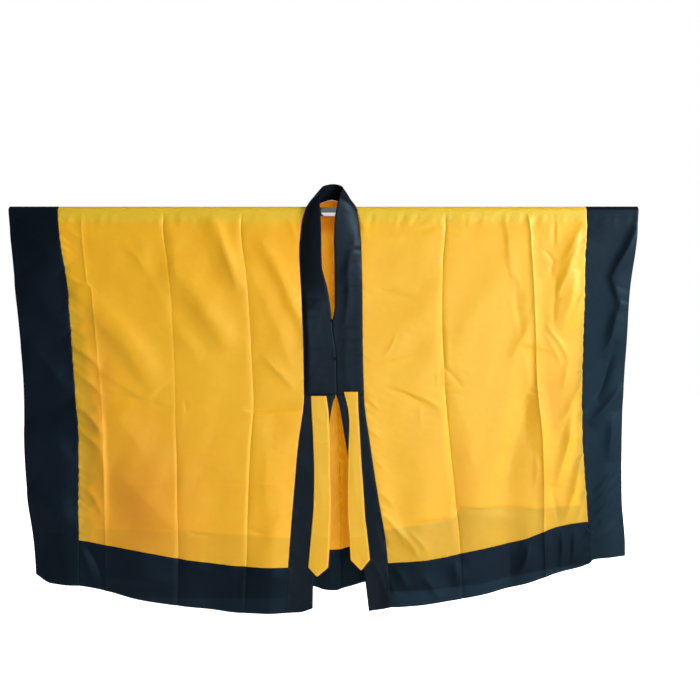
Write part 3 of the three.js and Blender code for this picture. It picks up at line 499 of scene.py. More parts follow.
# Spacing of the meshes' rows and columns, and the lengths and widths that it divides.
FRONT_SPACING, BACK_SPACING, BAND_SPACING = 4.2, 8, 5
PANEL_LENGTH, HEM_BAND_WIDTH = 1050, 135
SLEEVE_BAND_LENGTH, SLEEVE_BAND_WIDTH = 1080, 150
EDGE_BAND_LENGTH, EDGE_BAND_WIDTH = 640, 80
NECK_BAND_WIDTH, NECK_BAND_STEPS = 90, 8
TIE_COLUMNS, TIE_TIP_ROWS = 12, 12
BEND_ROWS = 12
MIDDLE_DROP = 500.0
PASSES = 3
BESIDE_CREASE = np.array([-4.4, -2.4, -1, 0, 1, 2.4, 4.4])
CLEAR_OF_CREASE = 5
KNOT_STEPS, KNOT_SIDES = 96, 12
POLE_STEPS, POLE_SIDES, POLE_RIM_STEPS = 40, 64, 6

# ---- Interpolation and noise ----


def mix(a, b, t):
    """a at t = 0 and b at t = 1."""
    return a + (b - a) * t


def clamp01(t):
    """t, kept between 0 and 1."""
    return np.clip(t, 0, 1)


def soft_step(t):
    """0 below 0, 1 above 1, and 3tt - 2ttt between."""
    t = clamp01(t)
    return t * t * (3 - 2 * t)


def look_up(rows, key, at, column):
    """A smooth curve through a table's rows, which never overshoots.

    Between two rows it is the cubic with a given slope at both. A row's slope is the harmonic mean of the
    slopes on its two sides, and nothing at a turning point.
    """
    k, v = rows[key], rows[column]
    step = np.diff(k)
    slope = np.diff(v) / step
    same_way = slope[:-1] * slope[1:] > 0
    total = np.where(same_way, slope[:-1] + slope[1:], 1)
    inner = np.where(same_way, 2 * slope[:-1] * slope[1:] / total, 0)
    tangent = np.concatenate([slope[:1], inner, slope[-1:]])
    i = np.clip(np.searchsorted(k, at) - 1, 0, len(step) - 1)
    t = clamp01((at - k[i]) / step[i])
    rise = v[i + 1] - v[i]
    start = tangent[i] * step[i]
    end = tangent[i + 1] * step[i]
    return v[i] + start * t + (3 * rise - 2 * start - end) * t**2 + (start + end - 2 * rise) * t**3


def ripples(x, y, length, seed, count=10):
    """Even, aimless waves of about one wavelength: cosines in seeded directions and phases, summed."""
    random = np.random.default_rng(seed)
    turn = random.uniform(0, 2 * np.pi, count)
    pitch = 2 * np.pi / (length * random.uniform(0.7, 1.4, count))
    phase = random.uniform(0, 2 * np.pi, count)
    total = sum(np.cos(p * (x * np.cos(a) + y * np.sin(a)) + f) for a, p, f in zip(turn, pitch, phase))
    return total / np.sqrt(count / 2)


def rippled(rows, x, y, seed=0):
    """Ripples of several lengths, summed."""
    return sum(r["height"] * ripples(x, r["lean"] * y, r["length"], seed + r["seed"]) for r in rows)


# ---- The middle surface of the cloth ----


class Quarter:
    """A quarter of the robe. face is -1 in front and 1 behind, and inwards points along x to the middle."""

    def __init__(self, name, face, sections, hem, sleeve_end):
        self.name = name
        self.face = face
        self.sections = sections
        self.hem = hem
        self.sleeve_end = sleeve_end
        self.inwards = 1 if sections is LEFT_SECTIONS else -1
        self.seed = {"front_left": 1, "front_right": 2, "back_left": 3, "back_right": 4}[name]

    def outer(self, drop):
        return look_up(self.sections, "drop", drop, "outer")

    def sleeve_seam(self, drop):
        return look_up(self.sections, "drop", drop, "sleeve_seam")

    def inner_seam(self, drop):
        if self.face < 0:
            return look_up(self.sections, "drop", drop, "front_seam")
        return mix(CENTRE_BACK_AT_NECK, CENTRE_BACK_AT_HEM, clamp01(drop / FULL_DROP))

    def across(self, x, drop):
        """0 on the sleeve seam and 1 on the front or centre-back seam."""
        seam = self.sleeve_seam(drop)
        return (x - seam) / (self.inner_seam(drop) - seam)


QUARTERS = {
    q.name: q
    for q in (
        Quarter("front_left", -1, LEFT_SECTIONS, FRONT_HEM_LEFT, SLEEVE_END_LEFT),
        Quarter("front_right", -1, RIGHT_SECTIONS, FRONT_HEM_RIGHT, SLEEVE_END_RIGHT),
        Quarter("back_left", 1, LEFT_SECTIONS, BACK_HEM_LEFT, SLEEVE_END_LEFT),
        Quarter("back_right", 1, RIGHT_SECTIONS, BACK_HEM_RIGHT, SLEEVE_END_RIGHT),
    )
}


def crease_height(quarter, x, drop):
    """Pressed creases: height times (1 - distance / width) to a power on each side of the line.

    A narrow straight-sided line lies on top.
    """
    total = 0
    for crease in CREASES[quarter.name]:
        at = look_up(crease, "drop", drop, "across")
        line = mix(quarter.sleeve_seam(drop), quarter.inner_seam(drop), at)
        inside = (x - line) * quarter.inwards
        width = np.where(
            inside > 0,
            look_up(crease, "drop", drop, "inner_width"),
            look_up(crease, "drop", drop, "sleeve_width"),
        )
        height = look_up(crease, "drop", drop, "height")
        total = total + height * clamp01(1 - np.abs(inside) / width) ** CREASE_EDGE
        pressed = look_up(crease, "drop", drop, "line")
        total = total + pressed * clamp01(1 - np.abs(inside) / LINE_WIDTH)
    return total


def drape_height(quarter, x, drop):
    """Soft drapes: a bell across each line, swelling to the middle of its length, or down to the hem."""
    total = 0
    for d in DRAPES[quarter.name]:
        way_x = d["to_x"] - d["from_x"]
        way_drop = d["to_drop"] - d["from_drop"]
        length = np.hypot(way_x, way_drop)
        off_x, off_drop = x - d["from_x"], drop - d["from_drop"]
        along = clamp01((off_x * way_x + off_drop * way_drop) / length**2)
        off = (off_x * way_drop - off_drop * way_x) / length
        swell = along**SWELL_TO_HEM if d["to_drop"] > REACHES_HEM_DROP else np.sin(np.pi * along)
        total = total + d["rise"] * swell * np.exp(-((off / d["width"]) ** 2))
    return total


def fold_height(folds, x, drop):
    """Small folds: exp(-(distance / width) to the power edge), on a bowed line that swells from both ends."""
    total = 0
    for f in folds:
        way_x = f["to_x"] - f["from_x"]
        way_drop = f["to_drop"] - f["from_drop"]
        length = np.hypot(way_x, way_drop)
        off_x, off_drop = x - f["from_x"], drop - f["from_drop"]
        along = (off_x * way_x + off_drop * way_drop) / length**2
        inside = clamp01(along)
        bow = f["bow"] * np.sin(np.pi * inside)
        wander = FOLD_WANDER * np.sin(along * length / FOLD_WANDER_LENGTH + f["from_x"])
        right = (off_x * way_drop - off_drop * way_x) / length - bow + wander
        width = np.where(right > 0, f["right"], f["left"])
        beyond = np.maximum(0, np.abs(along - 0.5) - 0.5) * length
        swell = np.sin(np.pi * mix(FOLD_END_SHARE, 1 - FOLD_END_SHARE, inside)) ** FOLD_SWELL
        fade = np.exp(-((beyond / FOLD_FADE) ** 2))
        total = total + f["rise"] * swell * fade * np.exp(-((np.abs(right) / width) ** f["edge"]))
    return total


def pucker_height(quarter, x, drop):
    """Puckers: ripples along each seam, which die away from it, and fainter on the black bands."""
    seed = quarter.seed * 10
    across = quarter.across(x, drop)
    to_sleeve = np.abs(x - quarter.sleeve_seam(drop))
    to_inner = np.abs(x - quarter.inner_seam(drop))
    to_hem = np.abs(drop - look_up(quarter.hem, "across", across, "seam"))
    side = rippled(SIDE_RIPPLES, drop - SEAM_SLANT * np.minimum(to_sleeve, to_inner), x, seed)
    hem = rippled(HEM_RIPPLES, x, drop, seed)
    top = rippled(TOP_RIPPLES, x + TOP_SLANT * drop, x, seed)
    beside = np.exp(-to_sleeve / SLEEVE_SEAM_REACH) + INNER_SEAM_SHARE * np.exp(-to_inner / INNER_SEAM_REACH)
    height = (
        side * beside
        + hem * HEM_SEAM_SHARE * np.exp(-to_hem / HEM_SEAM_REACH)
        + top * np.exp(-((drop - TOP_DROP) ** 2) / TOP_REACH_SQUARED)
    )
    return height * np.where(across < 0, BAND_SHARE, 1)


def fine_relief(quarter, x, drop):
    """What the cloth has beside its drapes: creases, folds, puckers and a faint waviness all over."""
    return (
        crease_height(quarter, x, drop)
        + fold_height(FOLDS[quarter.name], x, drop)
        + pucker_height(quarter, x, drop)
        + rippled(WAVES, x, drop, quarter.seed * 10)
    )


def neck_lift(x):
    """0 at the shoulders and beyond, 1 at the middle of the back of the neck: a squared cosine."""
    t = (x - NECK_CENTRE) / NECK_HALF_WIDTH
    return np.where(np.abs(t) < 1, np.cos(np.pi * t / 2) ** 2, 0)


def cloth(quarter, x, drop):
    """The middle surface: a quarter circle round the pole above drop 0, and the hanging cloth below it.

    Below, the cloth stands off the pole's tangent plane by a lean that grows with the drop, plus its drapes
    and its fine relief. Behind the neck the quarter circle gives way to a higher neckline, set further back.
    """
    x, drop = np.broadcast_arrays(np.asarray(x, float), np.asarray(drop, float))
    hanging = np.maximum(drop, 0)
    lean = FRONT_LEAN
    lift = 0
    if quarter.face > 0:
        bell = np.exp(-(((x - BACK_CENTRE_X) / BACK_CENTRE_REACH) ** 2))
        lean = BACK_LEAN + BACK_CENTRE_LEAN * bell
        lift = neck_lift(x)
    drag = (NECK_SETBACK - BEND_RADIUS) * lift * (1 - clamp01(hanging / NECK_SETTLED_DROP))
    relief = drape_height(quarter, x, hanging) * clamp01(hanging / DRAPE_FADE_DROP)
    relief = relief + fine_relief(quarter, x, hanging) * soft_step(hanging / RELIEF_FADE_DROP)
    out = HANG_AT_TOP * clamp01(hanging / HANG_AT_TOP_DROP) + lean * clamp01(hanging / FULL_DROP)
    below_y = BEND_RADIUS + drag + out + relief
    turned = clamp01((drop - CREST) / BEND_LENGTH)
    angle = turned * np.pi / 2
    bend_y = mix(BEND_RADIUS * np.sin(angle), mix(NECK_SETBACK, BEND_RADIUS + drag, turned), lift)
    bend_z = mix(BEND_RADIUS * np.cos(angle), mix(BEND_RADIUS + NECK_RISE, 0, turned), lift)
    hangs = drop > 0
    y = quarter.face * np.where(hangs, below_y, bend_y)
    z = np.where(hangs, -drop, bend_z)
    return np.stack([x, y, z], axis=-1)


# ---- Meshes ----


def unit(v):
    """Vectors of length 1."""
    return v / np.maximum(np.linalg.norm(v, axis=-1, keepdims=True), 1e-9)


def add_mesh(name, positions, faces, uv=None, values=None, sharp=None):
    """A smooth mesh from arrays, in millimetres. uv and values are given at the vertices."""
    mesh = bpy.data.meshes.new(name)
    mesh.vertices.add(len(positions))
    mesh.vertices.foreach_set("co", (np.asarray(positions) * MM).astype(np.float32).ravel())
    faces = np.asarray(faces, np.int32)
    mesh.loops.add(faces.size)
    mesh.loops.foreach_set("vertex_index", faces.ravel())
    mesh.polygons.add(len(faces))
    mesh.polygons.foreach_set("loop_start", np.arange(len(faces), dtype=np.int32) * 4)
    mesh.polygons.foreach_set("loop_total", np.full(len(faces), 4, np.int32))
    mesh.update(calc_edges=True)
    mesh.polygons.foreach_set("use_smooth", np.ones(len(faces), bool))
    if uv is not None:
        layer = mesh.uv_layers.new(name="cloth")
        layer.uv.foreach_set("vector", (uv[faces.ravel()] * MM).astype(np.float32).ravel())
    for key, value in (values or {}).items():
        layer = mesh.attributes.new(key, "FLOAT", "POINT")
        layer.data.foreach_set("value", np.asarray(value, np.float32).ravel())
    if sharp is not None:
        ends = np.zeros(len(mesh.edges) * 2, np.int32)
        mesh.edges.foreach_get("vertices", ends)
        on = sharp[ends].reshape(-1, 2).all(axis=1)
        mark = mesh.attributes.new("sharp_edge", "BOOLEAN", "EDGE")
        mark.data.foreach_set("value", on)
    mesh.validate()
    piece = bpy.data.objects.new(name, mesh)
    bpy.context.scene.collection.objects.link(piece)
    return piece


def shell(name, points, wall, outwards, uv, values, square_top=False, inside=1.0, outside=0.0):
    """A closed cloth wall on a grid of points, rows by columns.

    Both skins are the points moved along the surface's normals. A third ring, moved outwards past the edge by
    half the wall, rounds the rim. square_top leaves the first row's rim sharp, where a piece meets its other
    half on the crest of the pole. inside and outside are how far each skin takes the look's inside colour, a
    painted shade.
    """
    rows, columns = points.shape[:2]
    across = np.gradient(points, axis=1)
    down = np.gradient(points, axis=0)
    normals = unit(np.cross(across, down))
    flipped = np.sum(normals * outwards) < 0
    if flipped:
        normals = -normals
    inner, outer = wall
    skin_out = points + normals * outer
    skin_in = points + normals * inner
    at = np.arange(rows * columns).reshape(rows, columns)
    ring = np.concatenate([at[0, :-1], at[:-1, -1], at[-1, :0:-1], at[:0:-1, 0]])
    beyond = np.zeros_like(points)
    beyond[0] -= unit(down[0])
    beyond[-1] += unit(down[-1])
    beyond[:, 0] -= unit(across[:, 0])
    beyond[:, -1] += unit(across[:, -1])
    middle = (skin_out + skin_in) / 2 + unit(beyond) * (outer - inner) * 0.5
    if square_top:
        middle[0] = (skin_out[0] + skin_in[0]) / 2
    count = rows * columns
    flat = middle.reshape(-1, 3)[ring]
    positions = np.concatenate([skin_out.reshape(-1, 3), skin_in.reshape(-1, 3), flat])
    a, b, c, d = at[:-1, :-1], at[:-1, 1:], at[1:, 1:], at[1:, :-1]
    front = np.stack([a, b, c, d], axis=-1).reshape(-1, 4)
    back = front[:, ::-1] + count
    rim = np.arange(len(ring))
    rim_next = np.roll(rim, -1)
    ring_next = ring[rim_next]
    edge_out = np.stack([ring_next, ring, 2 * count + rim, 2 * count + rim_next], axis=-1)
    edge_in = np.stack([2 * count + rim_next, 2 * count + rim, ring + count, ring_next + count], axis=-1)
    faces = np.concatenate([front, back, edge_out, edge_in])
    if flipped:
        faces = faces[:, ::-1]
    everywhere = np.concatenate([np.arange(count), np.arange(count), ring])
    uv = uv.reshape(-1, 2)[everywhere]
    values = {key: np.broadcast_to(v, (rows, columns)).ravel()[everywhere] for key, v in values.items()}
    skins = [np.broadcast_to(share, (rows, columns)).ravel() for share in (outside, inside)]
    values["inside"] = np.concatenate([skins[0], skins[1], skins[1][ring]])
    sharp = np.zeros(len(positions), bool)
    if square_top:
        sharp[at[0]] = True
        sharp[at[0] + count] = True
    return add_mesh(name, positions, faces, uv, values, sharp)


def ring_faces(rows, columns):
    """Faces of a grid that closes on itself both ways."""
    at = np.arange(rows * columns).reshape(rows, columns)
    after = np.roll(at, -1, axis=0)
    corners = [at, after, np.roll(after, -1, axis=1), np.roll(at, -1, axis=1)]
    return np.stack(corners, axis=-1).reshape(-1, 4)


def tube(name, path, radius, sides, across):
    """A round tube along a closed path: circles of one radius, square to the path."""
    tangent = unit(np.roll(path, -1, axis=0) - np.roll(path, 1, axis=0))
    up = unit(across - tangent * np.sum(tangent * across, axis=-1, keepdims=True))
    side = np.cross(tangent, up)
    turn = np.arange(sides) * 2 * np.pi / sides
    rings = (
        path[:, None]
        + radius * np.cos(turn)[None, :, None] * up[:, None]
        + radius * np.sin(turn)[None, :, None] * side[:, None]
    )
    length = np.concatenate([[0], np.cumsum(np.linalg.norm(np.diff(path, axis=0), axis=1))])
    uv = np.stack(np.broadcast_arrays(turn * radius, length[:, None]), axis=-1)
    return add_mesh(name, rings.reshape(-1, 3), ring_faces(len(path), sides)[:, ::-1], uv.reshape(-1, 2))


# ---- Materials ----

# Weave: threads in radians to a metre, the ridge's share of its height, the streaks' scale, and its bump.
THREADS = 9000
RIDGE_SHARE = 0.3
STREAK_SCALE = (28, 420, 1)
WEAVE_BUMP = 0.25
BUMP_STRENGTH, BUMP_DISTANCE = 0.5, 0.0004
# Stitching, in metres: the groove's half width, the thread's, and a stitch with its gap, of which a
# share shows.
GROOVE, THREAD, STITCH, STITCH_SHARE, STITCH_RISE = 0.0022, 0.0004, 0.0034, 0.72, 0.5
# Slow drifts between the look's two colours, and small changes of shade and roughness about their middle.
DRIFT_CONTRAST, DRIFT_OFFSET = 2.2, -0.6
PATCH_SHADE, STREAK_SHADE = 0.05, 0.06
SATIN_ROUGHNESS, STREAK_ROUGHNESS, INSIDE_ROUGHNESS = 0.42, 0.16, 0.45
GLOW_RADIUS, GLOW_SCALE = (1, 0.7, 0.15), 0.005
# The cord's strands, in radians to a metre round it and along it.
CORD_ROUND, CORD_ALONG = 2400.0, 3200.0
CORD_BUMP_STRENGTH, CORD_BUMP_DISTANCE = 0.7, 0.0003
# The steel's draw lines and smudges.
DRAW_LINE_SCALE, SMUDGE_SCALE = (6, 900, 900), 24
STEEL_BUMP_STRENGTH, STEEL_BUMP_DISTANCE = 0.3, 0.0002


def new_material(name):
    """A material, its nodes and links, and its shader."""
    material = bpy.data.materials.new(name)
    material.use_nodes = True
    nodes = material.node_tree.nodes
    return material, nodes, material.node_tree.links, nodes["Principled BSDF"]


def node_group(name, inputs, outputs):
    """An empty shader node group with named sockets, given as name: kind."""
    group = bpy.data.node_groups.new(name, "ShaderNodeTree")
    for label, kind in inputs.items():
        group.interface.new_socket(label, in_out="INPUT", socket_type=kind)
    for label, kind in outputs.items():
        group.interface.new_socket(label, in_out="OUTPUT", socket_type=kind)
    nodes = group.nodes
    return group, nodes, group.links, nodes.new("NodeGroupInput"), nodes.new("NodeGroupOutput")


def maths(nodes, operation, *values, clamp=False):
    """A Math node fed by numbers or sockets. Returns its output."""
    node = nodes.new("ShaderNodeMath")
    node.operation = operation
    node.use_clamp = clamp
    for socket, value in zip(node.inputs, values):
        if isinstance(value, (int, float)):
            socket.default_value = value
        else:
            nodes.id_data.links.new(value, socket)
    return node.outputs[0]


def blended(nodes, factor, a, b, how="MIX"):
    """A colour Mix node fed by colours or sockets. Returns its output."""
    node = nodes.new("ShaderNodeMix")
    node.data_type = "RGBA"
    node.blend_type = how
    for socket, value in ((node.inputs[0], factor), (node.inputs[6], a), (node.inputs[7], b)):
        if isinstance(value, (int, float)):
            socket.default_value = value
        elif isinstance(value, tuple):
            socket.default_value = (*value, 1)
        else:
            nodes.id_data.links.new(value, socket)
    return node.outputs[2]


def noise(nodes, place, scale, detail):
    """A noise texture's value at a place."""
    node = nodes.new("ShaderNodeTexNoise")
    node.inputs["Scale"].default_value = scale
    node.inputs["Detail"].default_value = detail
    nodes.id_data.links.new(place, node.inputs["Vector"])
    return node.outputs[0]


def stretched(nodes, place, scale):
    """A place with each of its directions multiplied."""
    node = nodes.new("ShaderNodeMapping")
    node.inputs["Scale"].default_value = scale
    nodes.id_data.links.new(place, node.inputs[0])
    return node.outputs[0]


def directions(nodes, place):
    """The x, y and z of a place."""
    node = nodes.new("ShaderNodeSeparateXYZ")
    nodes.id_data.links.new(place, node.inputs[0])
    return node.outputs


def cloth_place(nodes):
    """The place on the cloth laid flat, in metres."""
    node = nodes.new("ShaderNodeUVMap")
    node.uv_map = "cloth"
    return node.outputs[0]


NUMBER, VECTOR = "NodeSocketFloat", "NodeSocketVector"


def weave_group():
    """Satin weave: long floats across the cloth, each thread a ridge, and slubs in some of them."""
    group, nodes, links, given, out = node_group(
        "satin weave", {"Place": VECTOR, "Threads": NUMBER}, {"Height": NUMBER, "Streaks": NUMBER}
    )
    place = given.outputs["Place"]
    thread = maths(nodes, "MULTIPLY", directions(nodes, place)[1], given.outputs["Threads"])
    ridge = maths(nodes, "SINE", thread)
    streaks = noise(nodes, stretched(nodes, place, STREAK_SCALE), 1, 3)
    height = maths(nodes, "ADD", maths(nodes, "MULTIPLY", ridge, RIDGE_SHARE), streaks)
    links.new(height, out.inputs["Height"])
    links.new(streaks, out.inputs["Streaks"])
    return group


def patches_group():
    """Slow drifts of colour over a cloth: two noises, one a hand wide and one a finger wide."""
    group, nodes, links, given, out = node_group(
        "cloth patches", {"Place": VECTOR}, {"Wide": NUMBER, "Narrow": NUMBER}
    )
    for label, scale, detail in (("Wide", 3, 2), ("Narrow", 38, 3)):
        links.new(noise(nodes, given.outputs["Place"], scale, detail), out.inputs[label])
    return group


def stitch_group():
    """A line of stitching at a distance from an edge: a groove, and threads that cross it in even dashes."""
    group, nodes, links, given, out = node_group(
        "stitching",
        {"Distance": NUMBER, "Along": NUMBER, "Inset": NUMBER},
        {"Thread": NUMBER, "Height": NUMBER},
    )
    off = maths(nodes, "SUBTRACT", given.outputs["Distance"], given.outputs["Inset"])
    off = maths(nodes, "ABSOLUTE", off)
    groove = maths(nodes, "SUBTRACT", 1.0, maths(nodes, "DIVIDE", off, GROOVE), clamp=True)
    thread = maths(nodes, "LESS_THAN", off, THREAD)
    dash = maths(nodes, "FRACT", maths(nodes, "DIVIDE", given.outputs["Along"], STITCH))
    stitch = maths(nodes, "MULTIPLY", thread, maths(nodes, "LESS_THAN", dash, STITCH_SHARE))
    links.new(stitch, out.inputs["Thread"])
    height = maths(nodes, "SUBTRACT", maths(nodes, "MULTIPLY", stitch, STITCH_RISE), groove)
    links.new(height, out.inputs["Height"])
    return group


WEAVE = weave_group()
PATCHES = patches_group()
STITCHING = stitch_group()


def placed(nodes, group):
    """A node that stands for a group."""
    node = nodes.new("ShaderNodeGroup")
    node.node_tree = group
    return node


def attribute(nodes, name):
    """One of the mesh's values at its vertices."""
    node = nodes.new("ShaderNodeAttribute")
    node.attribute_name = name
    return node.outputs["Fac"]


def bumped(nodes, height, strength, distance):
    """Feeds a height to the shader's normal."""
    links = nodes.id_data.links
    bump = nodes.new("ShaderNodeBump")
    bump.inputs["Strength"].default_value = strength
    bump.inputs["Distance"].default_value = distance
    links.new(height, bump.inputs["Height"])
    links.new(bump.outputs[0], nodes["Principled BSDF"].inputs["Normal"])


def satin(name, look):
    """A satin cloth.

    Base colour drifts between the look's two colours. It goes to the look's over-pole, behind and inside
    colours by the mesh's values of those names: painted shade over the pole, painted see-through shade on the
    satin and painted light on the black bands, and painted shade on the inner skin and in hollows. The weave
    and the stitching give the bump, the streaks of the weave vary the roughness, and the inside is rougher.
    """
    material, nodes, links, shader = new_material(name)
    weave = placed(nodes, WEAVE)
    weave.inputs["Threads"].default_value = THREADS
    patches = placed(nodes, PATCHES)
    for group in (weave, patches):
        links.new(cloth_place(nodes), group.inputs["Place"])
    drift = maths(nodes, "MULTIPLY_ADD", patches.outputs["Wide"], DRIFT_CONTRAST, DRIFT_OFFSET, clamp=True)
    colour = blended(nodes, drift, look["colour"], look["drift"])
    narrow = maths(nodes, "MULTIPLY_ADD", patches.outputs["Narrow"], PATCH_SHADE, 1 - PATCH_SHADE / 2)
    streak = maths(nodes, "MULTIPLY_ADD", weave.outputs["Streaks"], STREAK_SHADE, 1 - STREAK_SHADE / 2)
    shade = maths(nodes, "MULTIPLY", narrow, streak)
    tint = nodes.new("ShaderNodeCombineColor")
    for socket in tint.inputs:
        links.new(shade, socket)
    colour = blended(nodes, 1.0, colour, tint.outputs[0], "MULTIPLY")
    # painted shade and light: the over-pole, behind and inside colours, by the mesh's values
    for key in ("over_pole", "behind", "inside"):
        colour = blended(nodes, attribute(nodes, key), colour, look[key])
    height = maths(nodes, "MULTIPLY", weave.outputs["Height"], WEAVE_BUMP)
    for edge, inset in look["stitched"]:
        line = placed(nodes, STITCHING)
        line.inputs["Inset"].default_value = inset
        links.new(attribute(nodes, edge), line.inputs["Distance"])
        links.new(attribute(nodes, "along"), line.inputs["Along"])
        colour = blended(nodes, line.outputs["Thread"], colour, look["thread"])
        height = maths(nodes, "MULTIPLY_ADD", line.outputs["Height"], look["stitch_depth"], height)
    links.new(colour, shader.inputs["Base Color"])
    least = SATIN_ROUGHNESS - STREAK_ROUGHNESS / 2
    rough = maths(nodes, "MULTIPLY_ADD", weave.outputs["Streaks"], STREAK_ROUGHNESS, least)
    rough = maths(nodes, "MULTIPLY_ADD", attribute(nodes, "inside"), INSIDE_ROUGHNESS, rough, clamp=True)
    links.new(rough, shader.inputs["Roughness"])
    bumped(nodes, height, BUMP_STRENGTH, BUMP_DISTANCE)
    shader.inputs["Specular IOR Level"].default_value = look["gloss"]
    shader.inputs["Specular Tint"].default_value = (*look["gloss_tint"], 1)
    shader.inputs["Subsurface Weight"].default_value = look["glow"]
    shader.inputs["Subsurface Radius"].default_value = GLOW_RADIUS
    shader.inputs["Subsurface Scale"].default_value = GLOW_SCALE
    return material


YELLOW = {
    "colour": (0.77, 0.322, 0.009),
    "drift": (0.77, 0.302, 0.007),
    # painted shade over the pole: a duller, olive satin
    "over_pole": (0.64, 0.35, 0.018),
    # painted see-through shade, where dark facings lie behind the cloth
    "behind": (0.42, 0.234, 0.005),
    # painted shade: dark red-orange on the inner skin and in hollows
    "inside": (0.40, 0.12, 0.004),
    "thread": (0.86, 0.46, 0.06),
    "gloss": 0.5,
    "gloss_tint": (0.75, 1.0, 0.6),
    "glow": 0.8,
    "stitched": (),
    "stitch_depth": 1.0,
}
BLACK = {
    "colour": (0.0012, 0.0022, 0.0040),
    "drift": (0.0034, 0.0054, 0.0096),
    # painted shade over the pole, unused by the black pieces
    "over_pole": (0.003, 0.006, 0.010),
    # painted light: a lighter, bluer black where a band takes it
    "behind": (0.0052, 0.0120, 0.0190),
    # painted shade: near black on the bands' inner skin
    "inside": (0.0005, 0.0009, 0.0016),
    "thread": (0.004, 0.007, 0.011),
    "gloss": 0.125,
    "gloss_tint": (0.34, 0.69, 0.98),
    "glow": 0.0,
    "stitched": (("hem_inset", 0.013), ("seam_inset", 0.0035)),
    "stitch_depth": 0.35,
}
yellow_satin = satin("yellow satin", YELLOW)
black_satin = satin("black satin", BLACK)
centre_satin = satin(
    "black satin of the neck band",
    BLACK
    | {
        "colour": (0.0018, 0.0025, 0.0040),
        "drift": (0.0038, 0.0052, 0.0082),
        "gloss": 0.15,
        "gloss_tint": (0.4, 0.64, 0.86),
    },
)
tie_satin = satin(
    "tie satin",
    YELLOW
    | {
        "colour": (0.552, 0.291, 0.007),
        "drift": (0.57, 0.298, 0.008),
        "stitched": (("hem_inset", 0.004),),
    },
)


def cord_material():
    """Black braided cord: crossing strands from two slanted waves on the cord's own length and girth."""
    material, nodes, links, shader = new_material("black cord")
    girth, length, _ = directions(nodes, cloth_place(nodes))
    along = maths(nodes, "MULTIPLY", length, CORD_ALONG)
    strands = []
    for slant in (1, -1):
        place = maths(nodes, "MULTIPLY_ADD", girth, slant * CORD_ROUND, along)
        strands.append(maths(nodes, "SINE", place))
    height = maths(nodes, "MAXIMUM", *strands)
    tone = maths(nodes, "MULTIPLY_ADD", height, 0.5, 0.5, clamp=True)
    # painted shade: darker colour in the grooves between the strands, lighter on their tops
    colour = blended(nodes, tone, (0.001, 0.0012, 0.002), (0.003, 0.004, 0.006))
    links.new(colour, shader.inputs["Base Color"])
    shader.inputs["Specular IOR Level"].default_value = 0.08
    rough = maths(nodes, "MULTIPLY_ADD", tone, -0.15, 0.62)
    links.new(rough, shader.inputs["Roughness"])
    bumped(nodes, height, CORD_BUMP_STRENGTH, CORD_BUMP_DISTANCE)
    return material


def steel_material():
    """Bright drawn steel: fine draw lines along the tube, faint smudges, and a brushed gloss."""
    material, nodes, links, shader = new_material("bright steel")
    place = nodes.new("ShaderNodeTexCoord").outputs["Object"]
    draw_lines = noise(nodes, stretched(nodes, place, DRAW_LINE_SCALE), 1, 4)
    smudges = noise(nodes, place, SMUDGE_SCALE, 2)
    tone = maths(nodes, "MULTIPLY_ADD", draw_lines, 0.5, 0.25)
    colour = blended(nodes, tone, (0.55, 0.56, 0.58), (0.85, 0.86, 0.88))
    links.new(colour, shader.inputs["Base Color"])
    rough = maths(nodes, "MULTIPLY_ADD", smudges, 0.08, 0.05)
    links.new(rough, shader.inputs["Roughness"])
    bumped(nodes, draw_lines, STEEL_BUMP_STRENGTH, STEEL_BUMP_DISTANCE)
    shader.inputs["Metallic"].default_value = 1
    return material


black_cord = cord_material()
bright_steel = steel_material()

# ---- Pieces ----


def finish(piece, node, material):
    """Gives a piece its material, and lets it stand for its CAD node."""
    piece.data.materials.append(material)
    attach(piece, "root")
    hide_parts(node)
    return piece


def even(count):
    """Evenly spaced places from 0 to 1."""
    return np.linspace(0, 1, count + 1)


def side_columns(quarter, spacing):
    """Columns across a panel, evenly spaced, with close ones beside each crease.

    Returns them and the creases' own columns, so that each crease keeps to one column on its way down.
    """
    width = abs(quarter.inner_seam(MIDDLE_DROP) - quarter.sleeve_seam(MIDDLE_DROP))
    columns = even(round(width / spacing))
    knots = [np.mean(crease["across"]) for crease in CREASES[quarter.name]]
    for knot in knots:
        columns = columns[np.abs(columns - knot) > CLEAR_OF_CREASE / width]
        columns = np.concatenate([columns, knot + BESIDE_CREASE / width])
    return np.sort(columns), knots


def column_across(quarter, columns, knots, drop):
    """Where a column lies across the panel at a drop: straight between the seams and the creases' lines."""
    order = np.argsort(knots)
    starts = np.concatenate([[0], np.array(knots)[order], [1]])
    places = [np.zeros_like(drop)]
    places += [look_up(CREASES[quarter.name][i], "drop", drop, "across") for i in order]
    places.append(np.ones_like(drop))
    across = np.zeros_like(drop)
    for i in range(len(starts) - 1):
        t = (columns - starts[i]) / (starts[i + 1] - starts[i])
        inside = (t >= 0) & (t <= 1)
        across = np.where(inside, mix(places[i], places[i + 1], clamp01(t)), across)
    return across


def bend_drops():
    """Drops of the rows over the pole, from its crest down to where the cloth starts to hang."""
    return mix(CREST, 0, even(BEND_ROWS)[:-1])


def painted_inside_shade(quarter, x, drop):
    """How far the inner skin takes the inside colour, a painted shade: fully near the pole, and in part lower
    down.
    """
    near_pole = soft_step((INSIDE_FULL_DROP - drop) / INSIDE_FULL_FADE)
    inside = mix(INSIDE_LEAST, 1, near_pole)
    if quarter.face > 0:
        past = x - mix(RIDGE_TOP, RIDGE_END, (drop - RIDGE_DROP) / RIDGE_LENGTH)
        beside = soft_step(past / RIDGE_SHADE_EDGE + 0.5)
        beside = beside * soft_step((RIDGE_SHADE_WIDTH - past) / RIDGE_SHADE_FADE)
        low = soft_step((drop - RIDGE_SHADE_DROP) / RIDGE_SHADE_DROP_FADE)
        at_neck = soft_step((INSIDE_AT_NECK_DROP - drop) / INSIDE_AT_NECK_FADE)
        inside = np.maximum(inside, RIDGE_SHADE * beside * low)
        inside = np.maximum(inside, INSIDE_AT_NECK * at_neck)
    return inside


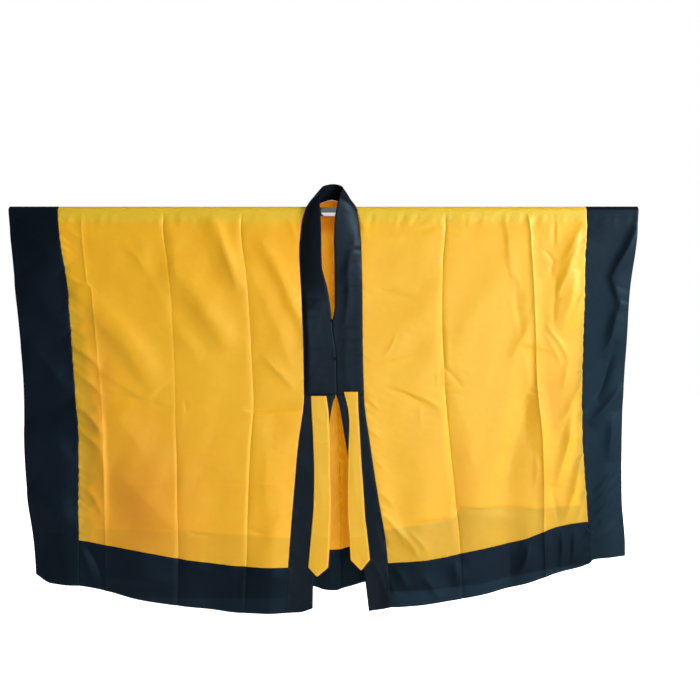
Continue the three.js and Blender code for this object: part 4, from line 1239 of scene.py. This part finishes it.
def painted_hollow_shade(quarter, x, drop):
    """How far the outer skin takes the inside colour as painted shade: exp(-(x / half width)^2 - (drop / half
    height)^2).
    """
    shows = np.zeros_like(x)
    for h in PAINTED_HOLLOW_SHADES.get(quarter.name, []):
        away = ((x - h["x"]) / h["half_width"]) ** 2 + ((drop - h["drop"]) / h["half_height"]) ** 2
        shows = np.maximum(shows, h["share"] * np.exp(-away))
    return shows


def see_through_shade(quarter, x, drop):
    """How far a front takes its behind colour, a painted shade, above the hem band's seam and beside the
    sleeve band's.
    """
    if quarter.face > 0:
        return np.zeros_like(x)
    facing = look_up(FACINGS[quarter.name], "x", x, "drop")
    above_hem = HEM_SEE_THROUGH_SHADE[quarter.name] * soft_step((drop - facing) / FACING_EDGE + 0.5)
    width = look_up(SLEEVE_FACINGS[quarter.name], "drop", drop, "width")
    width = width + FACING_WAVE * ripples(drop, 0 * drop, FACING_WAVE_LENGTH, quarter.seed)
    off_seam = np.abs(x - quarter.sleeve_seam(drop))
    beside = SLEEVE_SEE_THROUGH_SHADE * soft_step((width - off_seam) / SLEEVE_FACING_EDGE + 0.5)
    return np.maximum(above_hem, beside)


def panel(quarter, spacing):
    """A satin panel, from the crest of the pole to the hem band's seam and from seam to seam."""
    columns, knots = side_columns(quarter, spacing)
    bend = bend_drops()
    share = np.concatenate([np.zeros(len(bend)), even(round(PANEL_LENGTH / spacing))])
    share_grid, column_grid = np.meshgrid(share, columns, indexing="ij")
    across = column_grid
    for _ in range(PASSES):
        drop = share_grid * (look_up(quarter.hem, "across", across, "seam") - HALF_GAP)
        across = column_across(quarter, column_grid, knots, drop)
    over = slice(0, len(bend))
    drop[over] = bend[:, None]
    across[over] = column_across(quarter, column_grid[over], knots, np.zeros_like(drop[over]))
    seam = quarter.sleeve_seam(drop) + quarter.inwards * HALF_GAP
    x = mix(seam, quarter.inner_seam(drop) - quarter.inwards * HALF_GAP, across)
    piece = shell(
        "satin_" + quarter.name,
        cloth(quarter, x, drop),
        SATIN,
        np.array([0, quarter.face, 0]),
        np.stack([x, drop], axis=-1),
        {
            # painted see-through shade on the fronts
            "behind": see_through_shade(quarter, x, drop),
            # painted shade on the satin over the pole and just below it
            "over_pole": soft_step((OVER_POLE_DROP - drop) / OVER_POLE_FADE),
        },
        square_top=True,
        inside=painted_inside_shade(quarter, x, drop),
        # painted shade in the hollows, on the outer skin
        outside=painted_hollow_shade(quarter, x, drop),
    )
    return finish(piece, quarter.name, yellow_satin)


def band_values(through, along, to_hem, to_seam):
    """What the bands' material reads at the vertices, with the lengths in metres; through is the share of
    painted light.
    """
    return {"behind": through, "along": along * MM, "hem_inset": to_hem * MM, "seam_inset": to_seam * MM}


def hem_band(quarter, spacing):
    """A black band below a panel, from its seam to the hem."""
    columns, knots = side_columns(quarter, spacing)
    share_grid, column_grid = np.meshgrid(even(round(HEM_BAND_WIDTH / spacing)), columns, indexing="ij")
    across = column_grid
    for _ in range(PASSES):
        seam = look_up(quarter.hem, "across", across, "seam") + HALF_GAP
        hem = look_up(quarter.hem, "across", across, "hem")
        drop = mix(seam, hem, share_grid)
        across = column_across(quarter, column_grid, knots, drop)
    side = quarter.sleeve_seam(drop) + quarter.inwards * HALF_GAP
    x = mix(side, quarter.inner_seam(drop) - quarter.inwards * HALF_GAP, across)
    # painted light on the hem band: half of it all over the back, and on a front below the back's hem
    through = HEM_THROUGH_BACK
    if quarter.face < 0:
        back = QUARTERS[quarter.name.replace("front", "back")]
        back_hem = look_up(back.hem, "across", clamp01(back.across(x, drop)), "hem")
        through = soft_step((drop - back_hem) / HEM_THROUGH_EDGE + 0.5) * np.where(x < 0, HEM_THROUGH_LEFT, 1)
    piece = shell(
        "band_hem_" + quarter.name,
        cloth(quarter, x, drop),
        BAND,
        np.array([0, quarter.face, 0]),
        np.stack([x, drop], axis=-1),
        band_values(through, x, hem - drop, drop - seam),
        inside=HEM_BAND_INSIDE_SHADE,
    )
    return finish(piece, "hem_band_" + quarter.name, black_satin)


def sleeve_band(quarter, spacing):
    """A black band down a sleeve opening, from the crest of the pole to its own slanted end."""
    bend = bend_drops()
    share = np.concatenate([np.zeros(len(bend)), even(round(SLEEVE_BAND_LENGTH / spacing))])
    share_grid, across = np.meshgrid(share, even(round(SLEEVE_BAND_WIDTH / spacing)), indexing="ij")
    drop = share_grid * look_up(quarter.sleeve_end, "across", across, "hem")
    drop[: len(bend)] = bend[:, None]
    seam = quarter.sleeve_seam(drop) - quarter.inwards * HALF_GAP
    outer = quarter.outer(drop)
    x = mix(outer, seam, across)
    # painted light on the right sleeve bands, growing down the band and less towards the seam
    through = 0
    if quarter.sections is RIGHT_SECTIONS:
        through = SLEEVE_PAINTED_LIGHT * clamp01(drop / SLEEVE_PAINTED_LIGHT_DROP)
        through = through * mix(1, SLEEVE_PAINTED_LIGHT_AT_SEAM, across)
    piece = shell(
        "band_sleeve_" + quarter.name,
        cloth(quarter, x, drop),
        BAND,
        np.array([0, quarter.face, 0]),
        np.stack([drop, x], axis=-1),
        band_values(through, drop, np.abs(x - outer), np.abs(x - seam)),
        square_top=True,
    )
    return finish(piece, "sleeve_band_" + quarter.name, black_satin)


def edge_band(side, free_edge, end, spacing):
    """A black band down a front's free edge, below the neck band."""
    quarter = QUARTERS["front_" + side]
    top = NECK_BAND_END + SEAM_GAP
    share = even(round(EDGE_BAND_LENGTH / spacing))
    share_grid, across = np.meshgrid(share, even(round(EDGE_BAND_WIDTH / spacing)), indexing="ij")
    drop = mix(top, look_up(end, "across", across, "hem"), share_grid)
    seam = quarter.inner_seam(drop) + quarter.inwards * HALF_GAP
    edge = look_up(free_edge, "drop", drop, "edge")
    x = mix(seam, edge, across)
    piece = shell(
        "band_edge_" + side,
        cloth(quarter, x, drop),
        BAND,
        np.array([0, -1, 0]),
        np.stack([drop, x], axis=-1),
        band_values(0, drop, np.abs(x - edge), np.abs(x - seam)),
    )
    return finish(piece, "front_edge_band_" + side, centre_satin)


def smooth_path(points, per_span):
    """A centripetal Catmull-Rom curve through points.

    Neighbouring points lie apart in time by the square root of their distance. A point's velocity is that
    of the parabola through it and its two neighbours, and each span is the cubic with the velocities at its
    ends.
    """
    points = np.asarray(points, float)
    gap = np.sqrt(np.linalg.norm(np.diff(points, axis=0), axis=1))
    slope = np.diff(points, axis=0) / gap[:, None]
    before, after = gap[:-1, None], gap[1:, None]
    inner = (slope[:-1] * after + slope[1:] * before) / (before + after)
    velocity = np.concatenate([slope[:1], inner, slope[-1:]])
    spans = len(points) - 1
    place = np.arange(spans * per_span + 1) / per_span
    i = np.minimum(place.astype(int), spans - 1)
    t = (place - i)[:, None]
    width = gap[i][:, None]
    p, q = points[i], points[i + 1]
    v, w = velocity[i] * width, velocity[i + 1] * width
    return p + v * t + (3 * (q - p) - 2 * v - w) * t**2 + (2 * (p - q) + v + w) * t**3


def chest_sections(quarter, edges, spacing):
    """Seam, free edge and bow of the neck band down a front, from the top."""
    rows = round((NECK_BAND_END - NECK_BAND_CHEST_TOP) / spacing)
    drop = np.linspace(NECK_BAND_CHEST_TOP, NECK_BAND_END, rows)
    lift = look_up(edges, "drop", drop, "lift")
    edge = cloth(quarter, look_up(edges, "drop", drop, "edge"), drop)
    edge[:, 1] -= lift
    seam = cloth(quarter, quarter.inner_seam(drop) + quarter.inwards * HALF_GAP, drop)
    return seam, edge, lift * BOW_PER_LIFT


def standing_sections(first, last, per_span):
    """Seam, free edge and bow of the neck band over the shoulders and round the back of the neck."""
    seams, edges = [first[0]], [first[1]]
    for row in NECK_BAND_STANDING:
        edge = np.array([row["edge_x"], row["edge_y"], row["edge_z"]], float)
        quarter = QUARTERS.get(row["on"])
        if quarter:
            seam = cloth(quarter, quarter.inner_seam(row["seam"]), row["seam"])
        else:
            seam = cloth(QUARTERS["back_left"], row["seam"], CREST)
        seams.append(seam + unit(edge - seam) * NECK_SEAM_GAP)
        edges.append(edge)
    seams.append(last[0])
    edges.append(last[1])
    bows = np.array([first[2], *[NECK_BAND_BOW] * len(NECK_BAND_STANDING), last[2]])
    place = np.arange((len(bows) - 1) * per_span + 1) / per_span
    bow = np.interp(place, np.arange(len(bows)), bows)
    return smooth_path(seams, per_span), smooth_path(edges, per_span), bow


def neck_band(spacing):
    """The long black band: straight lines from seam to free edge, bowed outwards by a sine across."""
    left = chest_sections(QUARTERS["front_left"], NECK_EDGE_LEFT, spacing)
    right = chest_sections(QUARTERS["front_right"], NECK_EDGE_RIGHT, spacing)
    standing = standing_sections([part[0] for part in left], [part[0] for part in right], NECK_BAND_STEPS)
    seam, edge, bow = (
        np.concatenate([one[:0:-1], middle, other[1:]]) for one, middle, other in zip(left, standing, right)
    )
    across = even(round(NECK_BAND_WIDTH / spacing))
    straight = mix(seam[:, None], edge[:, None], across[None, :, None])
    run = np.gradient(straight, axis=0)
    normals = unit(np.cross((edge - seam)[:, None], run))
    length = np.concatenate([[0], np.cumsum(np.linalg.norm(np.diff(seam + edge, axis=0), axis=1) / 2)])
    width = np.linalg.norm(edge - seam, axis=1)
    off = across[None] * width[:, None]
    along = np.broadcast_to(length[:, None], off.shape)
    bell = np.sin(np.pi * across)
    rise = bow[:, None] * bell + rippled(NECK_RIPPLES, along, off) * bell**0.5
    on_chest = soft_step((-straight[..., 1] - NECK_FOLDS_DEPTH) / NECK_FOLDS_FADE)
    folds = fold_height(NECK_FOLDS, straight[..., 0], -straight[..., 2])
    folds = folds * on_chest * soft_step(across / NECK_FOLDS_FROM_SEAM)
    points = straight + normals * (rise + folds)[..., None]
    piece = shell(
        "band_neck",
        points,
        NECK_BAND,
        normals,
        np.stack([along, off], axis=-1),
        band_values(0, along, width[:, None] - off, off),
    )
    return finish(piece, "neck_band", centre_satin)


def tie(side, sections, tip, spacing):
    """A doubled strap that lies on the front edge band and hangs past its edge, drawn in to a point."""
    quarter = QUARTERS["front_" + side]
    first, last = sections["drop"][[0, -1]]
    straight = np.linspace(first, last, round((last - first) / spacing))
    point = np.linspace(last, tip["drop"], TIE_TIP_ROWS)[1:]
    drop, across = np.meshgrid(np.concatenate([straight, point]), even(TIE_COLUMNS), indexing="ij")
    narrowing = clamp01((drop - last) / (tip["drop"] - last))
    near = mix(look_up(sections, "drop", drop, "near"), tip["x"] - TIE_TIP_HALF_WIDTH, narrowing)
    far = mix(look_up(sections, "drop", drop, "far"), tip["x"] + TIE_TIP_HALF_WIDTH, narrowing)
    x = mix(near, far, across)
    points = cloth(quarter, x, drop)
    clear = TIE_CLEAR + TIE_CLEAR_AT_TOP * soft_step((TIE_TOP_DROP - drop) / TIE_TOP_FADE)
    points[..., 1] -= fold_height(TIE_FOLDS[side], x, drop) + clear
    inset = np.minimum(np.minimum(across, 1 - across) * (far - near), tip["drop"] - drop)
    piece = shell(
        "strap_tie_" + side,
        points,
        TIE,
        np.array([0, -1, 0]),
        np.stack([drop, x], axis=-1),
        {"behind": 0, "along": drop * MM, "hem_inset": inset * MM},
    )
    return finish(piece, "tie_" + side, tie_satin)


def closure(name):
    """A flat cord knot, fitted to the closure's size.

    It is a trefoil: x, y and z are sin t + 2 sin 2t, -sin 3t and cos t - 2 cos 2t.
    """
    x, drop = CLOSURES[name]
    t = np.arange(KNOT_STEPS) * 2 * np.pi / KNOT_STEPS
    knot = np.stack([np.sin(t) + 2 * np.sin(2 * t), -np.sin(3 * t), np.cos(t) - 2 * np.cos(2 * t)], axis=-1)
    half = np.array(CLOSURE_SIZE) / 2 - CORD_RADIUS
    knot = knot / np.abs(knot).max(axis=0) * half
    chest = cloth(QUARTERS["front_left"], x, drop)[1]
    middle = np.array([x, chest - NECK_BAND[1] - CLOSURE_CLEAR - CLOSURE_SIZE[1] / 2, -drop])
    piece = tube("knot_" + name, knot + middle, CORD_RADIUS, KNOT_SIDES, np.array([0.0, 1, 0]))
    return finish(piece, name, black_cord)


def pole_tube():
    """The steel tube: a wall's section, with rounded rims, carried round the axis."""
    half_wall = POLE_WALL / 2
    end = POLE_LENGTH / 2 - half_wall
    rim = np.pi * even(POLE_RIM_STEPS)
    rim_along = end + half_wall * np.sin(rim)
    rim_out = POLE_RADIUS - half_wall + half_wall * np.cos(rim)
    outside = mix(-end, end, even(POLE_STEPS))
    along = np.concatenate([outside[:-1], rim_along, outside[-2:0:-1], -rim_along[::-1]])
    outer = np.full(POLE_STEPS, POLE_RADIUS)
    inner = np.full(POLE_STEPS - 1, POLE_RADIUS - POLE_WALL)
    out = np.concatenate([outer, rim_out, inner, rim_out[::-1]])[:, None]
    turn = np.arange(POLE_SIDES) * 2 * np.pi / POLE_SIDES
    points = np.stack(np.broadcast_arrays(along[:, None], out * np.cos(turn), out * np.sin(turn)), axis=-1)
    piece = add_mesh("tube_pole", points.reshape(-1, 3), ring_faces(len(along), POLE_SIDES))
    return finish(piece, "pole", bright_steel)


sewn = []
for quarter in QUARTERS.values():
    spacing = FRONT_SPACING if quarter.face < 0 else BACK_SPACING
    sewn += [panel(quarter, spacing), hem_band(quarter, spacing), sleeve_band(quarter, spacing)]
sewn += [
    edge_band("left", FREE_EDGE_LEFT, EDGE_BAND_END_LEFT, BAND_SPACING),
    edge_band("right", FREE_EDGE_RIGHT, EDGE_BAND_END_RIGHT, BAND_SPACING),
    neck_band(BAND_SPACING),
    tie("left", TIE_LEFT, TIE_LEFT_TIP, BAND_SPACING),
    tie("right", TIE_RIGHT, TIE_RIGHT_TIP, BAND_SPACING),
]
for name in CLOSURES:
    closure(name)
pole = pole_tube()

# ---- Studio ----

ROOM_LIGHT = 0.18
FLOOR_HALF, FLOOR_Z, FLOOR_GLOW = 14, -1.5, 0.95
AIM = np.array([0, 0, -0.6])
# Place, size and power of each light.
LIGHTS = {
    "key": ((5.9, -3.9, 2.2), 2.0, 810),
    "fill": ((2.1, -6.5, -0.5), 2.5, 200),
    "behind": ((0.3, 5.5, 0.6), 2.0, 240),
}


def studio():
    """A white room, a pale floor, a large light from the right, a weak one low in front and one behind."""
    scene = bpy.context.scene
    scene.view_settings.view_transform = "Standard"
    world = bpy.data.worlds.new("room")
    world.use_nodes = True
    scene.world = world
    nodes, links = world.node_tree.nodes, world.node_tree.links
    seen = nodes.new("ShaderNodeLightPath").outputs["Is Camera Ray"]
    room = maths(nodes, "MULTIPLY_ADD", seen, 1 - ROOM_LIGHT, ROOM_LIGHT)
    links.new(room, nodes["Background"].inputs["Strength"])
    nodes["Background"].inputs["Color"].default_value = (1, 1, 1, 1)

    floor_mesh = bpy.data.meshes.new("floor")
    corners = [(-1, -1), (1, -1), (1, 1), (-1, 1)]
    places = [(x * FLOOR_HALF, y * FLOOR_HALF, FLOOR_Z) for x, y in corners]
    floor_mesh.from_pydata(places, [], [(0, 1, 2, 3)])
    floor = bpy.data.objects.new("floor", floor_mesh)
    scene.collection.objects.link(floor)
    material, nodes, links, shader = new_material("pale floor")
    seen = nodes.new("ShaderNodeLightPath").outputs["Is Camera Ray"]
    shader.inputs["Base Color"].default_value = (0.85, 0.85, 0.85, 1)
    shader.inputs["Roughness"].default_value = 0.9
    shader.inputs["Emission Color"].default_value = (1, 1, 1, 1)
    links.new(maths(nodes, "MULTIPLY", seen, FLOOR_GLOW), shader.inputs["Emission Strength"])
    floor_mesh.materials.append(material)

    for name, (place, size, power) in LIGHTS.items():
        light = bpy.data.objects.new(name, bpy.data.lights.new(name, "AREA"))
        scene.collection.objects.link(light)
        light.data.size = size
        light.visible_camera = False
        light.data.energy = power
        light.location = place
        away = np.array(place) - AIM
        tilt = np.arctan2(np.hypot(away[0], away[1]), away[2])
        light.rotation_euler = (tilt, 0, np.arctan2(away[0], -away[1]))


studio()
